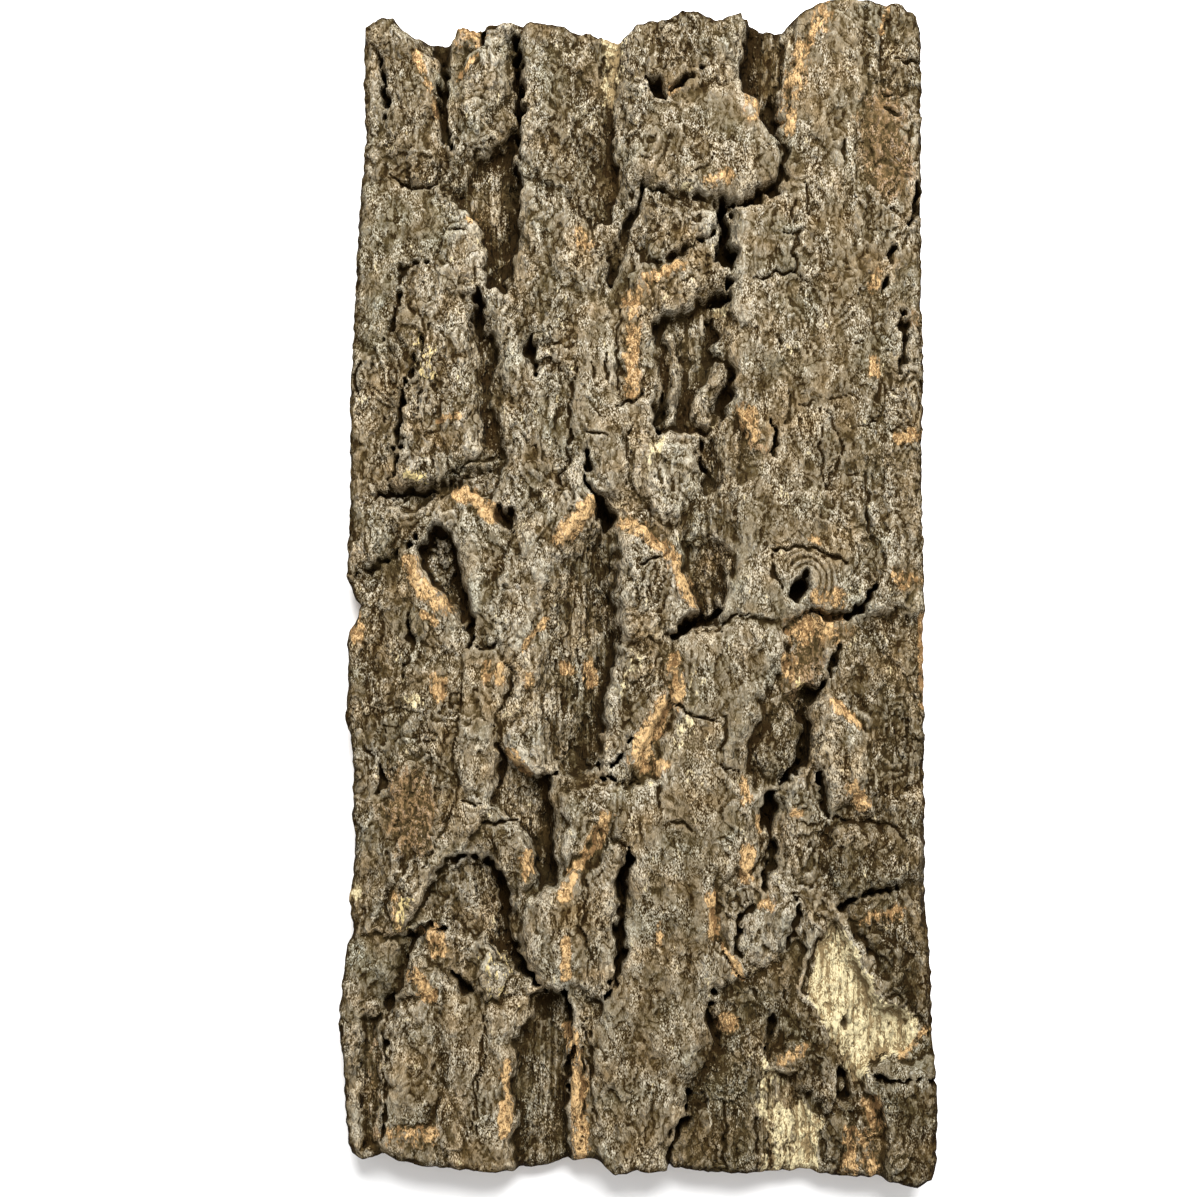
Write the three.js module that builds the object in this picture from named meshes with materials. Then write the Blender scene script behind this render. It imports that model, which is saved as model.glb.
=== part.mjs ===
// Cork bark slab: one flat piece of natural cork bark lying on its flat back, bark face up.
// Millimetres; +X across the slab, +Y along its length, +Z up from the surface it lies on.
import * as THREE from "three";

// Driving dimensions of the bark relief.
const valleyHeight = 25; // usual thickness of the slab between the plates
const valleyDrift = 2.5; // slow rise and fall of that thickness
const driftAcross = 38; // size of the slow waves across the slab
const driftAlong = 95; // size of the slow waves along the slab
const raggedReach = 1.7; // how far plate outlines wander from their drawn lines
const raggedSize = 13; // length of one such wander
const lumpHeight = 1.3; // low lumps over the whole bark face
const lumpAcross = 8;
const lumpAlong = 17;
const swellHeight = 1.6; // broader swellings, laid over the plates
const swellAcross = 21;
const swellAlong = 44;
const wallSwing = 1.3; // how much the step at a plate's outline widens and narrows, in powers of two
const wallRun = 22; // over what length it does so
const fissureSwing = 1; // share by which a fissure widens and narrows along its path
const fissureRun = 10; // over what length it does so
const floorSwing = 5; // rise and fall of a fissure's floor
const edgeSwing = 0.6; // share by which the rounding of plate edges varies
const edgeRun = 31; // over what length it does so
const leastHeight = 2.5; // thinnest the slab gets at the floor of a fissure
const rimRound = 5; // width of the rounding where the bark face meets the sides
const rimDrop = 3; // fall of the bark face over that rounding
const fissureFlank = 0.55; // share of a fissure's half width taken by each sloping flank

// Spacing of the points that carry the bark face.
const rimSpacing = 6; // along the outline
const fillSpacing = 15; // of the first even scatter
const fillScatter = 2.4; // random shift of each of those points
const nearestRim = 3.6; // points of the bark face keep this far inside the outline
const nearestPoint = 1.9; // and this far from each other
const pathSpacing = 5; // of points along the floor and both lips of a fissure
const pointBudget = 5300; // points on the bark face when the refining stops
const refineShare = 0.2; // share of new points added in one round of refining
const farAway = 100000; // corners of the first triangle, far outside the slab

const barkColour = 0x6c6048;
const barkRoughness = 0.92;

// Outline of the slab seen from above, in order round the rim from the top left corner.
const topRim = [[-145, 293], [-136, 298], [-130, 296], [-126, 292], [-113, 290], [-103, 287],
  [-99, 287], [-97, 293], [-82, 293], [-62, 295], [-45, 295], [-36, 292], [-20, 289], [-9, 287],
  [-3, 293], [6, 296], [13, 295], [22, 300], [31, 301], [40, 296], [46, 299], [54, 302], [60, 301],
  [65, 298], [77, 294], [82, 298], [89, 303], [103, 308], [120, 309], [140, 305], [147, 299]];
const rightRim = [[150, 290], [149.5, 250], [148.5, 200], [148, 160], [147.5, 140], [148, 110],
  [147, 85], [146, 40], [146, 0], [146.5, -20], [146, -65], [145.5, -100], [145, -160], [146, -190],
  [147, -230], [147, -296]];
const bottomRim = [[144, -304], [137, -307], [128, -306], [120, -303.5], [98, -304], [86, -301.5],
  [58, -302], [38, -302], [18, -299.5], [5, -300.5], [-5, -300], [-14, -302], [-20, -296],
  [-26, -294.5], [-34, -295.5], [-52, -301], [-72, -301], [-100, -299], [-120, -296], [-129, -292],
  [-139, -295]];
const leftRim = [[-146, -292], [-147.5, -284], [-150, -262], [-151, -250], [-153, -232], [-152, -210],
  [-149.5, -190], [-146, -182], [-148.5, -168], [-146, -138], [-148, -123], [-147.5, -92],
  [-151.5, -74], [-150.5, -45], [-152, -33], [-147, -22], [-144.5, -16], [-149.5, -8], [-153, 1],
  [-151, 30], [-151.5, 100], [-150, 150], [-148, 200], [-145.5, 232], [-146, 255], [-147, 282]];

// Raised plates and sunken hollows, each laid over the ones before it.
// height: level at the middle; edge: change of level at the outline, fading inward over reach;
// wall: width of the step at the outline; lean: slope of the level across and along the slab.
const plates = [
  {
    name: "left margin",
    height: 25, edge: -2, reach: 6.8, wall: 7, lean: [0.1, 0],
    outline: [[-158, 312], [-138, 312], [-135, 255], [-132, 205], [-131, 120], [-134, 60], [-127, 12],
      [-123, -60], [-130, -110], [-127, -180], [-130, -312], [-158, -312]],
  },
  {
    name: "upper left band",
    height: 28, edge: -2, reach: 7.5, wall: 8, lean: [0, 0],
    outline: [[-132, 215], [-100, 205], [-84, 184], [-78, 150], [-76, 110], [-70, 66], [-72, 30],
      [-84, -36], [-96, -60], [-122, -60], [-128, 12], [-131, 120]],
  },
  {
    name: "inner left band",
    height: 27.5, edge: -1.3, reach: 7.5, wall: 8, lean: [0.06, 0],
    outline: [[-62, 200], [-40, 207], [-14, 160], [-14, 120], [-4, 80], [-8, 40], [-24, 40],
      [-48, 34], [-72, 24], [-74, 60], [-68, 110], [-64, 160]],
  },
  {
    name: "lower left band",
    height: 28, edge: -1.3, reach: 6.8, wall: 6, lean: [0, 0],
    outline: [[-124, -40], [-92, -42], [-70, -44], [-70, -84], [-78, -116], [-92, -146], [-118, -165],
      [-124, -182], [-104, -200], [-84, -218], [-66, -212], [-58, -214], [-66, -234], [-71, -300],
      [-128, -300], [-126, -200], [-130, -110]],
  },
  {
    name: "ridge below the top end",
    height: 27, edge: -3, reach: 13, wall: 3, lean: [-0.2, 0.01],
    outline: [[-63, 312], [-40, 312], [-22, 312], [-12, 300], [-11, 262], [-14, 232], [-13, 204],
      [-15, 188], [-28, 184], [-40, 194], [-56, 198], [-65, 205], [-64, 220], [-61, 245]],
  },
  {
    name: "finger plate",
    height: 31, edge: -3.5, reach: 10, wall: 3, lean: [0, 0.02],
    outline: [[-148, 312], [-131, 312], [-127, 297], [-121, 286], [-110, 277], [-106, 266],
      [-105, 250], [-106, 240], [-104, 230], [-103, 221], [-104, 213], [-108, 208], [-116, 206],
      [-122, 208], [-127, 213], [-131, 230], [-132, 245], [-134, 262], [-136, 277], [-148, 286]],
  },
  {
    name: "dark notch in the top end",
    height: 15, edge: 2.6, reach: 4.5, wall: 4, lean: [0, 0.1],
    outline: [[-126, 312], [-125, 296], [-116, 287], [-108, 279], [-103, 271], [-99, 277], [-99, 284],
      [-100, 312]],
  },
  {
    name: "shoulder plate",
    height: 30, edge: -3.5, reach: 10, wall: 3, lean: [0.06, 0.02],
    outline: [[-98, 262], [-93, 275], [-87, 281], [-82, 284], [-81, 312], [-62, 312], [-65, 287],
      [-71, 279], [-71, 268], [-69, 262], [-72, 255], [-76, 248], [-79, 240], [-76, 233], [-84, 226],
      [-93, 215], [-99, 205], [-102, 199], [-103, 222], [-103, 245], [-101, 255]],
  },
  {
    name: "sawn cube",
    height: 26, edge: -1, reach: 4, wall: 2.5, lean: [0, 0],
    outline: [[-98, 282], [-99, 294], [-98, 312], [-85, 312], [-85, 282]],
  },
  {
    name: "slope under the shoulder",
    height: 16, edge: 2, reach: 6.8, wall: 5, lean: [-0.28, 0.02],
    outline: [[-64, 238], [-72, 232], [-84, 223], [-98, 204], [-101, 196], [-93, 192], [-85, 184],
      [-82, 170], [-80, 152], [-70, 150], [-66, 168], [-63, 190], [-63, 222]],
  },
  {
    name: "grey left plate",
    height: 28.5, edge: -3, reach: 10, wall: 4, lean: [0.02, 0],
    outline: [[-146, 206], [-130, 211], [-112, 204], [-103, 197], [-102, 180], [-107, 172],
      [-112, 166], [-122, 164], [-128, 157], [-129, 142], [-133, 128], [-138, 121], [-147, 118],
      [-149, 165]],
  },
  {
    name: "pale scale",
    height: 28, edge: -3.5, reach: 8, wall: 3, lean: [0.03, 0.02],
    outline: [[-99, 196], [-91, 192], [-85, 184], [-83, 170], [-86, 154], [-96, 151], [-103, 136],
      [-112, 130], [-121, 140], [-125, 156], [-117, 163], [-108, 165], [-104, 178]],
  },
  {
    name: "blocky plate",
    height: 29, edge: -3, reach: 10, wall: 3, lean: [-0.05, -0.03],
    outline: [[-127, 84], [-122, 104], [-117, 120], [-112, 130], [-101, 143], [-91, 148], [-88, 132],
      [-86, 122], [-88, 98], [-86, 78], [-80, 66], [-84, 60], [-98, 54], [-104, 49], [-125, 49],
      [-127, 62]],
  },
  {
    name: "valley beside the block",
    height: 17, edge: 3.2, reach: 7.5, wall: 5, lean: [-0.25, 0],
    outline: [[-88, 132], [-82, 128], [-76, 126], [-74, 108], [-75, 90], [-70, 78], [-68, 62],
      [-78, 60], [-86, 60], [-84, 78], [-86, 98]],
  },
  {
    name: "shade under the block",
    height: 20, edge: 0.7, reach: 6, wall: 5, lean: [0, -0.1],
    outline: [[-132, 47], [-104, 48], [-97, 53], [-80, 58], [-70, 60], [-70, 48], [-76, 38],
      [-84, 40], [-92, 47], [-100, 44], [-110, 38], [-120, 32], [-134, 38]],
  },
  {
    name: "diagonal scale",
    height: 28, edge: -3.5, reach: 10, wall: 5, lean: [0.02, -0.03],
    outline: [[-63, 222], [-50, 206], [-38, 202], [-28, 188], [-20, 174], [-16, 158], [-20, 146],
      [-34, 148], [-48, 156], [-58, 168], [-64, 186]],
  },
  {
    name: "inner rough plate",
    height: 27, edge: -3, reach: 8, wall: 5, lean: [0.02, 0],
    outline: [[-70, 130], [-62, 128], [-56, 112], [-46, 116], [-38, 104], [-38, 80], [-36, 62],
      [-46, 46], [-66, 28], [-70, 60], [-75, 82], [-74, 108]],
  },
  {
    name: "centre column",
    height: 31, edge: -3.5, reach: 10, wall: 4, lean: [0, 0],
    outline: [[-30, 150], [-18, 148], [-12, 128], [-12, 96], [-4, 84], [-7, 70], [-4, 56], [-9, 42],
      [-17, 41], [-23, 50], [-28, 62], [-37, 76], [-37, 98], [-34, 124]],
  },
  {
    name: "upper centre plate",
    height: 31, edge: -3.5, reach: 13, wall: 5, lean: [0, 0.01],
    outline: [[-9, 284], [-2, 296], [10, 312], [62, 312], [60, 298], [55, 284], [53, 269], [57, 259],
      [63, 252], [67, 241], [73, 231], [75, 220], [72, 208], [66, 201], [52, 197], [40, 198],
      [30, 201], [18, 200], [6, 205], [-4, 203], [-9, 207], [-6, 240]],
  },
  {
    name: "lower lobe",
    height: 33, edge: -3.5, reach: 10, wall: 6, lean: [0.01, -0.02],
    outline: [[-6, 212], [0, 240], [12, 250], [24, 256], [40, 262], [54, 262], [62, 250], [67, 240],
      [72, 230], [74, 220], [71, 208], [65, 202], [52, 198], [40, 199], [30, 202], [18, 202],
      [6, 206], [-3, 206]],
  },
  {
    name: "dark valley in the top end",
    height: 14, edge: 2.6, reach: 6, wall: 3.5, lean: [0.35, 0.05],
    outline: [[58, 312], [80, 312], [79, 284], [76, 262], [74, 244], [70, 235], [66, 241], [64, 254],
      [57, 259], [55, 271], [56, 286]],
  },
  {
    name: "right plateau",
    height: 31, edge: -3.5, reach: 15, wall: 4, lean: [0, 0.006],
    outline: [[90, 316], [130, 316], [126, 220], [116, 195], [124, 160], [136, 100], [120, 60],
      [116, 20], [118, -6], [112, -16], [100, -20], [88, -20], [78, -24], [62, -42], [46, -30],
      [40, -16], [46, 2], [50, 22], [51, 48], [54, 70], [48, 88], [50, 104], [47, 118], [49, 150],
      [49, 195], [66, 198], [74, 209], [77, 232], [80, 254], [82, 286]],
  },
  {
    name: "right margin",
    height: 30, edge: -2, reach: 7, wall: 14, lean: [-0.04, 0],
    outline: [[120, 316], [158, 316], [158, -120], [110, -126], [108, -60], [110, -8], [110, 20],
      [114, 60], [126, 100], [116, 160], [108, 195], [118, 222]],
  },
  {
    name: "corner scale",
    height: 31, edge: -3, reach: 8, wall: 4, lean: [-0.03, 0.03],
    outline: [[132, 316], [156, 316], [156, 258], [140, 254], [131, 262], [130, 286]],
  },
  {
    name: "tilted scale",
    height: 28, edge: -3.5, reach: 8, wall: 3, lean: [0.12, 0.08],
    outline: [[-7, 194], [8, 199], [30, 198], [38, 193], [43, 190], [41, 182], [34, 175], [26, 171],
      [12, 163], [1, 164], [-4, 176], [-9, 186]],
  },
  {
    name: "orange slope",
    height: 28, edge: -2, reach: 8, wall: 7, lean: [-0.02, 0.08],
    outline: [[-10, 148], [2, 160], [14, 162], [28, 170], [36, 164], [36, 150], [20, 139], [10, 134],
      [6, 112], [2, 92], [-9, 92], [-10, 120]],
  },
  {
    name: "ribbed recess",
    height: 15, edge: 2, reach: 4.5, wall: 4, lean: [0, 0.03],
    outline: [[8, 134], [20, 138], [34, 146], [47, 148], [43, 130], [41, 116], [49, 106], [45, 92],
      [40, 80], [32, 74], [12, 77], [7, 86], [9, 105]],
  },
  {
    name: "narrow rib",
    height: 23, edge: -4.5, reach: 5, wall: 4, lean: [0, 0.02],
    outline: [[14, 76], [21, 79], [22, 98], [20, 114], [21, 126], [16, 133], [12, 124], [14, 104],
      [13, 88]],
  },
  {
    name: "slanting rib",
    height: 25, edge: -5.5, reach: 6, wall: 4, lean: [0.06, 0.03],
    outline: [[28, 76], [38, 77], [42, 88], [47, 101], [47, 112], [40, 114], [33, 104], [27, 90]],
  },
  {
    name: "flat centre scale",
    height: 28, edge: -3.5, reach: 8, wall: 4, lean: [-0.06, 0.04],
    outline: [[-3, 70], [14, 71], [29, 71], [31, 60], [31, 46], [26, 30], [18, 22], [8, 28], [-2, 38],
      [-5, 52]],
  },
  {
    name: "recess beside the scale",
    height: 20, edge: 2, reach: 3.8, wall: 8, lean: [0.25, 0.05],
    outline: [[31, 72], [40, 75], [44, 66], [42, 46], [36, 40], [31, 44]],
  },
  {
    name: "grained chute",
    height: 20, edge: 2.6, reach: 6.8, wall: 8, lean: [0.08, 0.12],
    outline: [[22, 44], [31, 42], [42, 46], [48, 70], [51, 60], [50, 40], [48, 20], [46, 4],
      [43, -10], [39, -25], [32, -24], [28, -10], [23, 4], [18, 18]],
  },
  {
    name: "chute pocket",
    height: 13, edge: 3.2, reach: 6.8, wall: 7, lean: [0, 0.15],
    outline: [[20, 18], [34, 24], [45, 16], [46, 2], [43, -12], [39, -24], [31, -24], [27, -10],
      [23, 4]],
  },
  {
    name: "centre scale",
    height: 31, edge: -3.5, reach: 10, wall: 2.5, lean: [0.03, -0.01],
    outline: [[-13, 22], [-6, 28], [2, 24], [12, 14], [20, 4], [27, -8], [30, -18], [22, -25],
      [16, -31], [15, -40], [2, -38], [-12, -36], [-15, -10]],
  },
  {
    name: "keel hollow",
    height: 17.5, edge: 4, reach: 11, wall: 5, lean: [-0.36, 0.02],
    outline: [[-20, 30], [-31, 20], [-39, 9], [-45, -8], [-51, -25], [-55, -45], [-59, -65],
      [-58, -85], [-52, -98], [-40, -103], [-27, -99], [-20, -92], [-16, -75], [-13, -50], [-14, -10],
      [-16, 20]],
  },
  {
    name: "keel rim",
    height: 29, edge: -3, reach: 8, wall: 6, lean: [0, 0.01],
    outline: [[-28, 58], [-38, 47], [-50, 34], [-64, 24], [-71, 6], [-77, -12], [-80, -36],
      [-74, -39], [-70, -50], [-68, -62], [-72, -76], [-66, -80], [-60, -72], [-56, -50], [-52, -28],
      [-46, -8], [-40, 10], [-31, 21], [-24, 32], [-23, 45]],
  },
  {
    name: "stepped plate",
    height: 28, edge: -3.5, reach: 10, wall: 4, lean: [0.02, 0.02],
    outline: [[-101, 36], [-97, 46], [-91, 46], [-80, 38], [-73, 31], [-66, 28], [-71, 14], [-76, -2],
      [-80, -18], [-84, -35], [-88, -30], [-92, -10], [-91, 6], [-96, 16], [-102, 26]],
  },
  {
    name: "pocket beside the step",
    height: 10, edge: 2.6, reach: 4.5, wall: 4, lean: [0, 0],
    outline: [[-117, 13], [-106, 25], [-100, 21], [-94, 11], [-91, -3], [-89, -18], [-91, -24],
      [-97, -17], [-103, -12], [-108, -4], [-113, 4]],
  },
  {
    name: "torn scale",
    height: 29, edge: -3.5, reach: 8, wall: 3.5, lean: [0.03, 0.04],
    outline: [[-121, 9], [-113, 1], [-107, -8], [-102, -14], [-97, -19], [-91, -26], [-88, -34],
      [-90, -42], [-104, -44], [-118, -34], [-122, -14]],
  },
  {
    name: "long smooth plate",
    height: 30, edge: -3, reach: 8, wall: 3, lean: [0, 0],
    outline: [[-92, -41], [-86, -37], [-76, -39], [-70, -46], [-68, -58], [-72, -74], [-75, -86],
      [-77, -100], [-80, -112], [-90, -113], [-94, -104], [-93, -80]],
  },
  {
    name: "inner sliver",
    height: 27, edge: -3, reach: 5, wall: 4, lean: [0, 0],
    outline: [[-72, -80], [-64, -77], [-58, -84], [-54, -95], [-56, -103], [-62, -101], [-68, -92]],
  },
  {
    name: "left patched plate",
    height: 28.5, edge: -3, reach: 8, wall: 6, lean: [0.02, 0],
    outline: [[-121, -36], [-106, -46], [-95, -48], [-94, -80], [-96, -112], [-100, -132],
      [-110, -148], [-122, -146], [-130, -118], [-127, -90], [-122, -66]],
  },
  {
    name: "dark grained hollow",
    height: 15, edge: 3.2, reach: 6.8, wall: 4, lean: [-0.15, 0],
    outline: [[-71, -87], [-64, -97], [-57, -103], [-44, -103], [-42, -120], [-42, -140], [-44, -158],
      [-52, -160], [-55, -148], [-58, -136], [-64, -127], [-78, -119], [-76, -105]],
  },
  {
    name: "small step plate",
    height: 29, edge: -2, reach: 6, wall: 2.5, lean: [0, 0],
    outline: [[-94, -115], [-80, -118], [-79, -126], [-84, -134], [-94, -142], [-104, -152],
      [-118, -166], [-122, -156], [-108, -146], [-98, -132]],
  },
  {
    name: "arch floor",
    height: 19, edge: 1.3, reach: 6.8, wall: 5, lean: [-0.12, 0.03],
    outline: [[-106, -154], [-98, -149], [-90, -146], [-80, -147], [-74, -155], [-69, -168],
      [-67, -184], [-66, -195], [-74, -190], [-84, -186], [-100, -180], [-112, -177], [-120, -172],
      [-113, -161]],
  },
  {
    name: "lower middle base",
    height: 27, edge: -1.5, reach: 7, wall: 6, lean: [0, 0],
    outline: [[-46, -104], [-5, -104], [-5, -222], [-34, -216], [-62, -205], [-62, -165], [-44, -160]],
  },
  {
    name: "left lip",
    height: 30, edge: -3, reach: 5, wall: 2.5, lean: [0, 0],
    outline: [[-128, -166], [-120, -158], [-112, -152], [-106, -152], [-110, -164], [-116, -174],
      [-124, -183], [-128, -176]],
  },
  {
    name: "round knob",
    height: 29, edge: -4.5, reach: 8, wall: 3, lean: [0, 0],
    outline: [[-76, -136], [-66, -129], [-60, -133], [-56, -140], [-54, -150], [-56, -158],
      [-63, -162], [-70, -158], [-74, -150], [-76, -143]],
  },
  {
    name: "bulging plate",
    height: 33, edge: -4.5, reach: 11, wall: 3.5, lean: [0, 0],
    outline: [[-58, -166], [-48, -161], [-40, -154], [-31, -151], [-29, -165], [-31, -180],
      [-27, -195], [-30, -208], [-38, -210], [-46, -212], [-56, -205], [-62, -195], [-61, -180]],
  },
  {
    name: "tongue plate",
    height: 31, edge: -2, reach: 7, wall: 4, lean: [0, 0],
    outline: [[-27, -152], [-20, -143], [-14, -137], [-9, -140], [-9, -153], [-14, -166], [-13, -180],
      [-12, -195], [-15, -206], [-19, -218], [-26, -214], [-31, -206], [-29, -192], [-32, -178],
      [-30, -160]],
  },
  {
    name: "lower big plate",
    height: 32, edge: -4.5, reach: 11, wall: 3, lean: [-0.01, 0.005],
    outline: [[16, -33], [26, -28], [38, -29], [52, -22], [70, -24], [78, -34], [74, -48], [66, -62],
      [58, -84], [55, -96], [60, -112], [62, -128], [60, -144], [52, -156], [40, -162], [37, -184],
      [42, -192], [50, -205], [40, -210], [33, -226], [32, -247], [22, -257], [22, -275], [14, -290],
      [10, -316], [-18, -316], [-22, -285], [-24, -250], [-26, -226], [-18, -219], [-10, -205],
      [-8, -180], [-7, -150], [-10, -135], [-22, -128], [-38, -150], [-40, -112], [-20, -107],
      [-5, -109], [8, -104], [12, -90], [16, -70], [16, -50]],
  },
  {
    name: "base by the knob",
    height: 28, edge: -1.5, reach: 7, wall: 6, lean: [0, 0],
    outline: [[38, -154], [66, -150], [80, -165], [84, -190], [60, -206], [40, -212], [36, -185]],
  },
  {
    name: "low grey scale",
    height: 30, edge: -1.5, reach: 8, wall: 6, lean: [0.06, 0],
    outline: [[-10, -38], [14, -36], [18, -48], [16, -64], [8, -80], [0, -94], [-5, -106],
      [-18, -106], [-21, -90], [-18, -66], [-15, -50]],
  },
  {
    name: "shaded lump",
    height: 25, edge: -4.5, reach: 10, wall: 4, lean: [-0.12, 0],
    outline: [[72, -66], [80, -64], [86, -68], [85, -80], [83, -92], [79, -99], [73, -104],
      [66, -109], [60, -107], [56, -99], [56, -91], [62, -80]],
  },
  {
    name: "dark nook",
    height: 11, edge: 2.6, reach: 4.5, wall: 4, lean: [0, 0],
    outline: [[76, -66], [84, -58], [93, -57], [95, -60], [88, -67], [85, -78], [80, -74]],
  },
  {
    name: "right lens",
    height: 31, edge: -4.5, reach: 10, wall: 3.5, lean: [0, 0.02],
    outline: [[94, -58], [104, -66], [112, -74], [118, -82], [119, -98], [116, -112], [108, -120],
      [98, -123], [92, -116], [89, -102], [86, -95], [88, -80], [91, -66]],
  },
  {
    name: "right rough field",
    height: 25, edge: -2, reach: 10, wall: 8, lean: [-0.03, 0],
    outline: [[104, -24], [122, -22], [158, -24], [158, -170], [104, -170], [96, -128], [118, -120],
      [122, -95], [116, -74], [100, -56]],
  },
  {
    name: "strip beside the fissure",
    height: 27, edge: -3.5, reach: 7, wall: 3, lean: [0, 0],
    outline: [[80, -101], [88, -105], [93, -118], [94, -132], [92, -146], [88, -162], [78, -158],
      [71, -146], [70, -132], [73, -116], [76, -106]],
  },
  {
    name: "lower right plate",
    height: 30, edge: -3.5, reach: 8, wall: 4, lean: [-0.02, 0.01],
    outline: [[97, -129], [112, -127], [130, -130], [144, -136], [146, -158], [126, -161],
      [108, -167], [98, -162], [94, -146]],
  },
  {
    name: "granular knob",
    height: 31, edge: -4.5, reach: 10, wall: 3.5, lean: [0, 0],
    outline: [[56, -166], [66, -160], [76, -163], [80, -175], [78, -186], [71, -193], [62, -200],
      [53, -201], [49, -188], [50, -176]],
  },
  {
    name: "low dark plates",
    height: 25, edge: -2, reach: 8, wall: 4, lean: [0, 0],
    outline: [[50, -205], [62, -201], [72, -193], [80, -186], [84, -192], [78, -212], [88, -222],
      [98, -238], [104, -254], [101, -266], [96, -244], [90, -241], [80, -237], [66, -240],
      [60, -255], [58, -275], [60, -316], [18, -316], [24, -274], [24, -259], [34, -246], [36, -228],
      [42, -212]],
  },
  {
    name: "pale hollow",
    height: 19, edge: 3.2, reach: 7.5, wall: 3.5, lean: [-0.03, 0.02],
    outline: [[97, -177], [101, -181], [109, -196], [114, -207], [117, -218], [130, -221],
      [137, -227], [134, -240], [121, -246], [113, -250], [109, -260], [105, -256], [99, -240],
      [91, -225], [80, -211], [85, -200], [87, -190], [92, -184]],
  },
  {
    name: "flaked plate",
    height: 28, edge: -3.5, reach: 8, wall: 5, lean: [0.03, 0],
    outline: [[104, -170], [118, -167], [130, -175], [152, -176], [152, -236], [141, -228],
      [130, -217], [121, -206], [113, -192], [106, -180]],
  },
  {
    name: "bottom corner block",
    height: 34, edge: -3.5, reach: 7, wall: 3, lean: [0.02, -0.01],
    outline: [[112, -252], [122, -246], [134, -247], [158, -240], [158, -316], [124, -316],
      [118, -286], [112, -270]],
  },
  {
    name: "orange flank",
    height: 24, edge: -2, reach: 6, wall: 4, lean: [0.2, 0],
    outline: [[110, -262], [118, -262], [122, -285], [122, -316], [96, -316], [100, -288], [104, -272]],
  },
  {
    name: "curled knob",
    height: 29, edge: -4.5, reach: 8, wall: 3, lean: [0.03, 0.03],
    outline: [[66, -243], [72, -238], [82, -237], [92, -241], [99, -249], [102, -259], [101, -271],
      [92, -273], [84, -265], [77, -254], [69, -250]],
  },
  {
    name: "pale chute",
    height: 19, edge: 2.6, reach: 6, wall: 4, lean: [0, 0],
    outline: [[60, -250], [69, -249], [77, -255], [81, -265], [89, -273], [88, -316], [60, -316],
      [58, -280]],
  },
  {
    name: "small grey block",
    height: 25, edge: -3, reach: 5, wall: 3, lean: [0, 0],
    outline: [[98, -266], [104, -262], [110, -270], [106, -284], [100, -296], [92, -300], [88, -284],
      [91, -274]],
  },
  {
    name: "lower left channel",
    height: 14.5, edge: 3.2, reach: 6, wall: 3, lean: [-0.02, 0],
    outline: [[-57, -213], [-48, -212], [-40, -212], [-37, -226], [-36, -250], [-36, -316],
      [-63, -316], [-65, -280], [-65, -252], [-66, -238], [-58, -229]],
  },
  {
    name: "split plate",
    height: 28, edge: -3, reach: 8, wall: 4, lean: [-0.03, 0],
    outline: [[-100, -212], [-90, -212], [-81, -220], [-72, -216], [-58, -212], [-60, -228],
      [-67, -238], [-67, -316], [-100, -316], [-98, -255]],
  },
  {
    name: "rough bottom column",
    height: 28, edge: -3.5, reach: 8, wall: 4, lean: [0, 0],
    outline: [[-128, -220], [-118, -214], [-104, -214], [-100, -230], [-98, -258], [-104, -280],
      [-128, -281]],
  },
  {
    name: "left lower trough",
    height: 17, edge: 2.6, reach: 3.8, wall: 4, lean: [0, 0],
    outline: [[-143, -226], [-134, -222], [-130, -240], [-130, -270], [-132, -293], [-142, -290],
      [-144, -260]],
  },
  {
    name: "flaky left lobe",
    height: 26, edge: -3.5, reach: 10, wall: 4, lean: [0.02, -0.02],
    outline: [[-158, -184], [-146, -184], [-134, -181], [-120, -184], [-117, -195], [-122, -211],
      [-131, -219], [-137, -216], [-142, -226], [-158, -234]],
  },
  {
    name: "gritty knob",
    height: 28, edge: -4.5, reach: 6, wall: 2.5, lean: [0, 0],
    outline: [[-83, -194], [-76, -190], [-67, -199], [-63, -205], [-70, -217], [-78, -220],
      [-84, -211]],
  },
];

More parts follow.
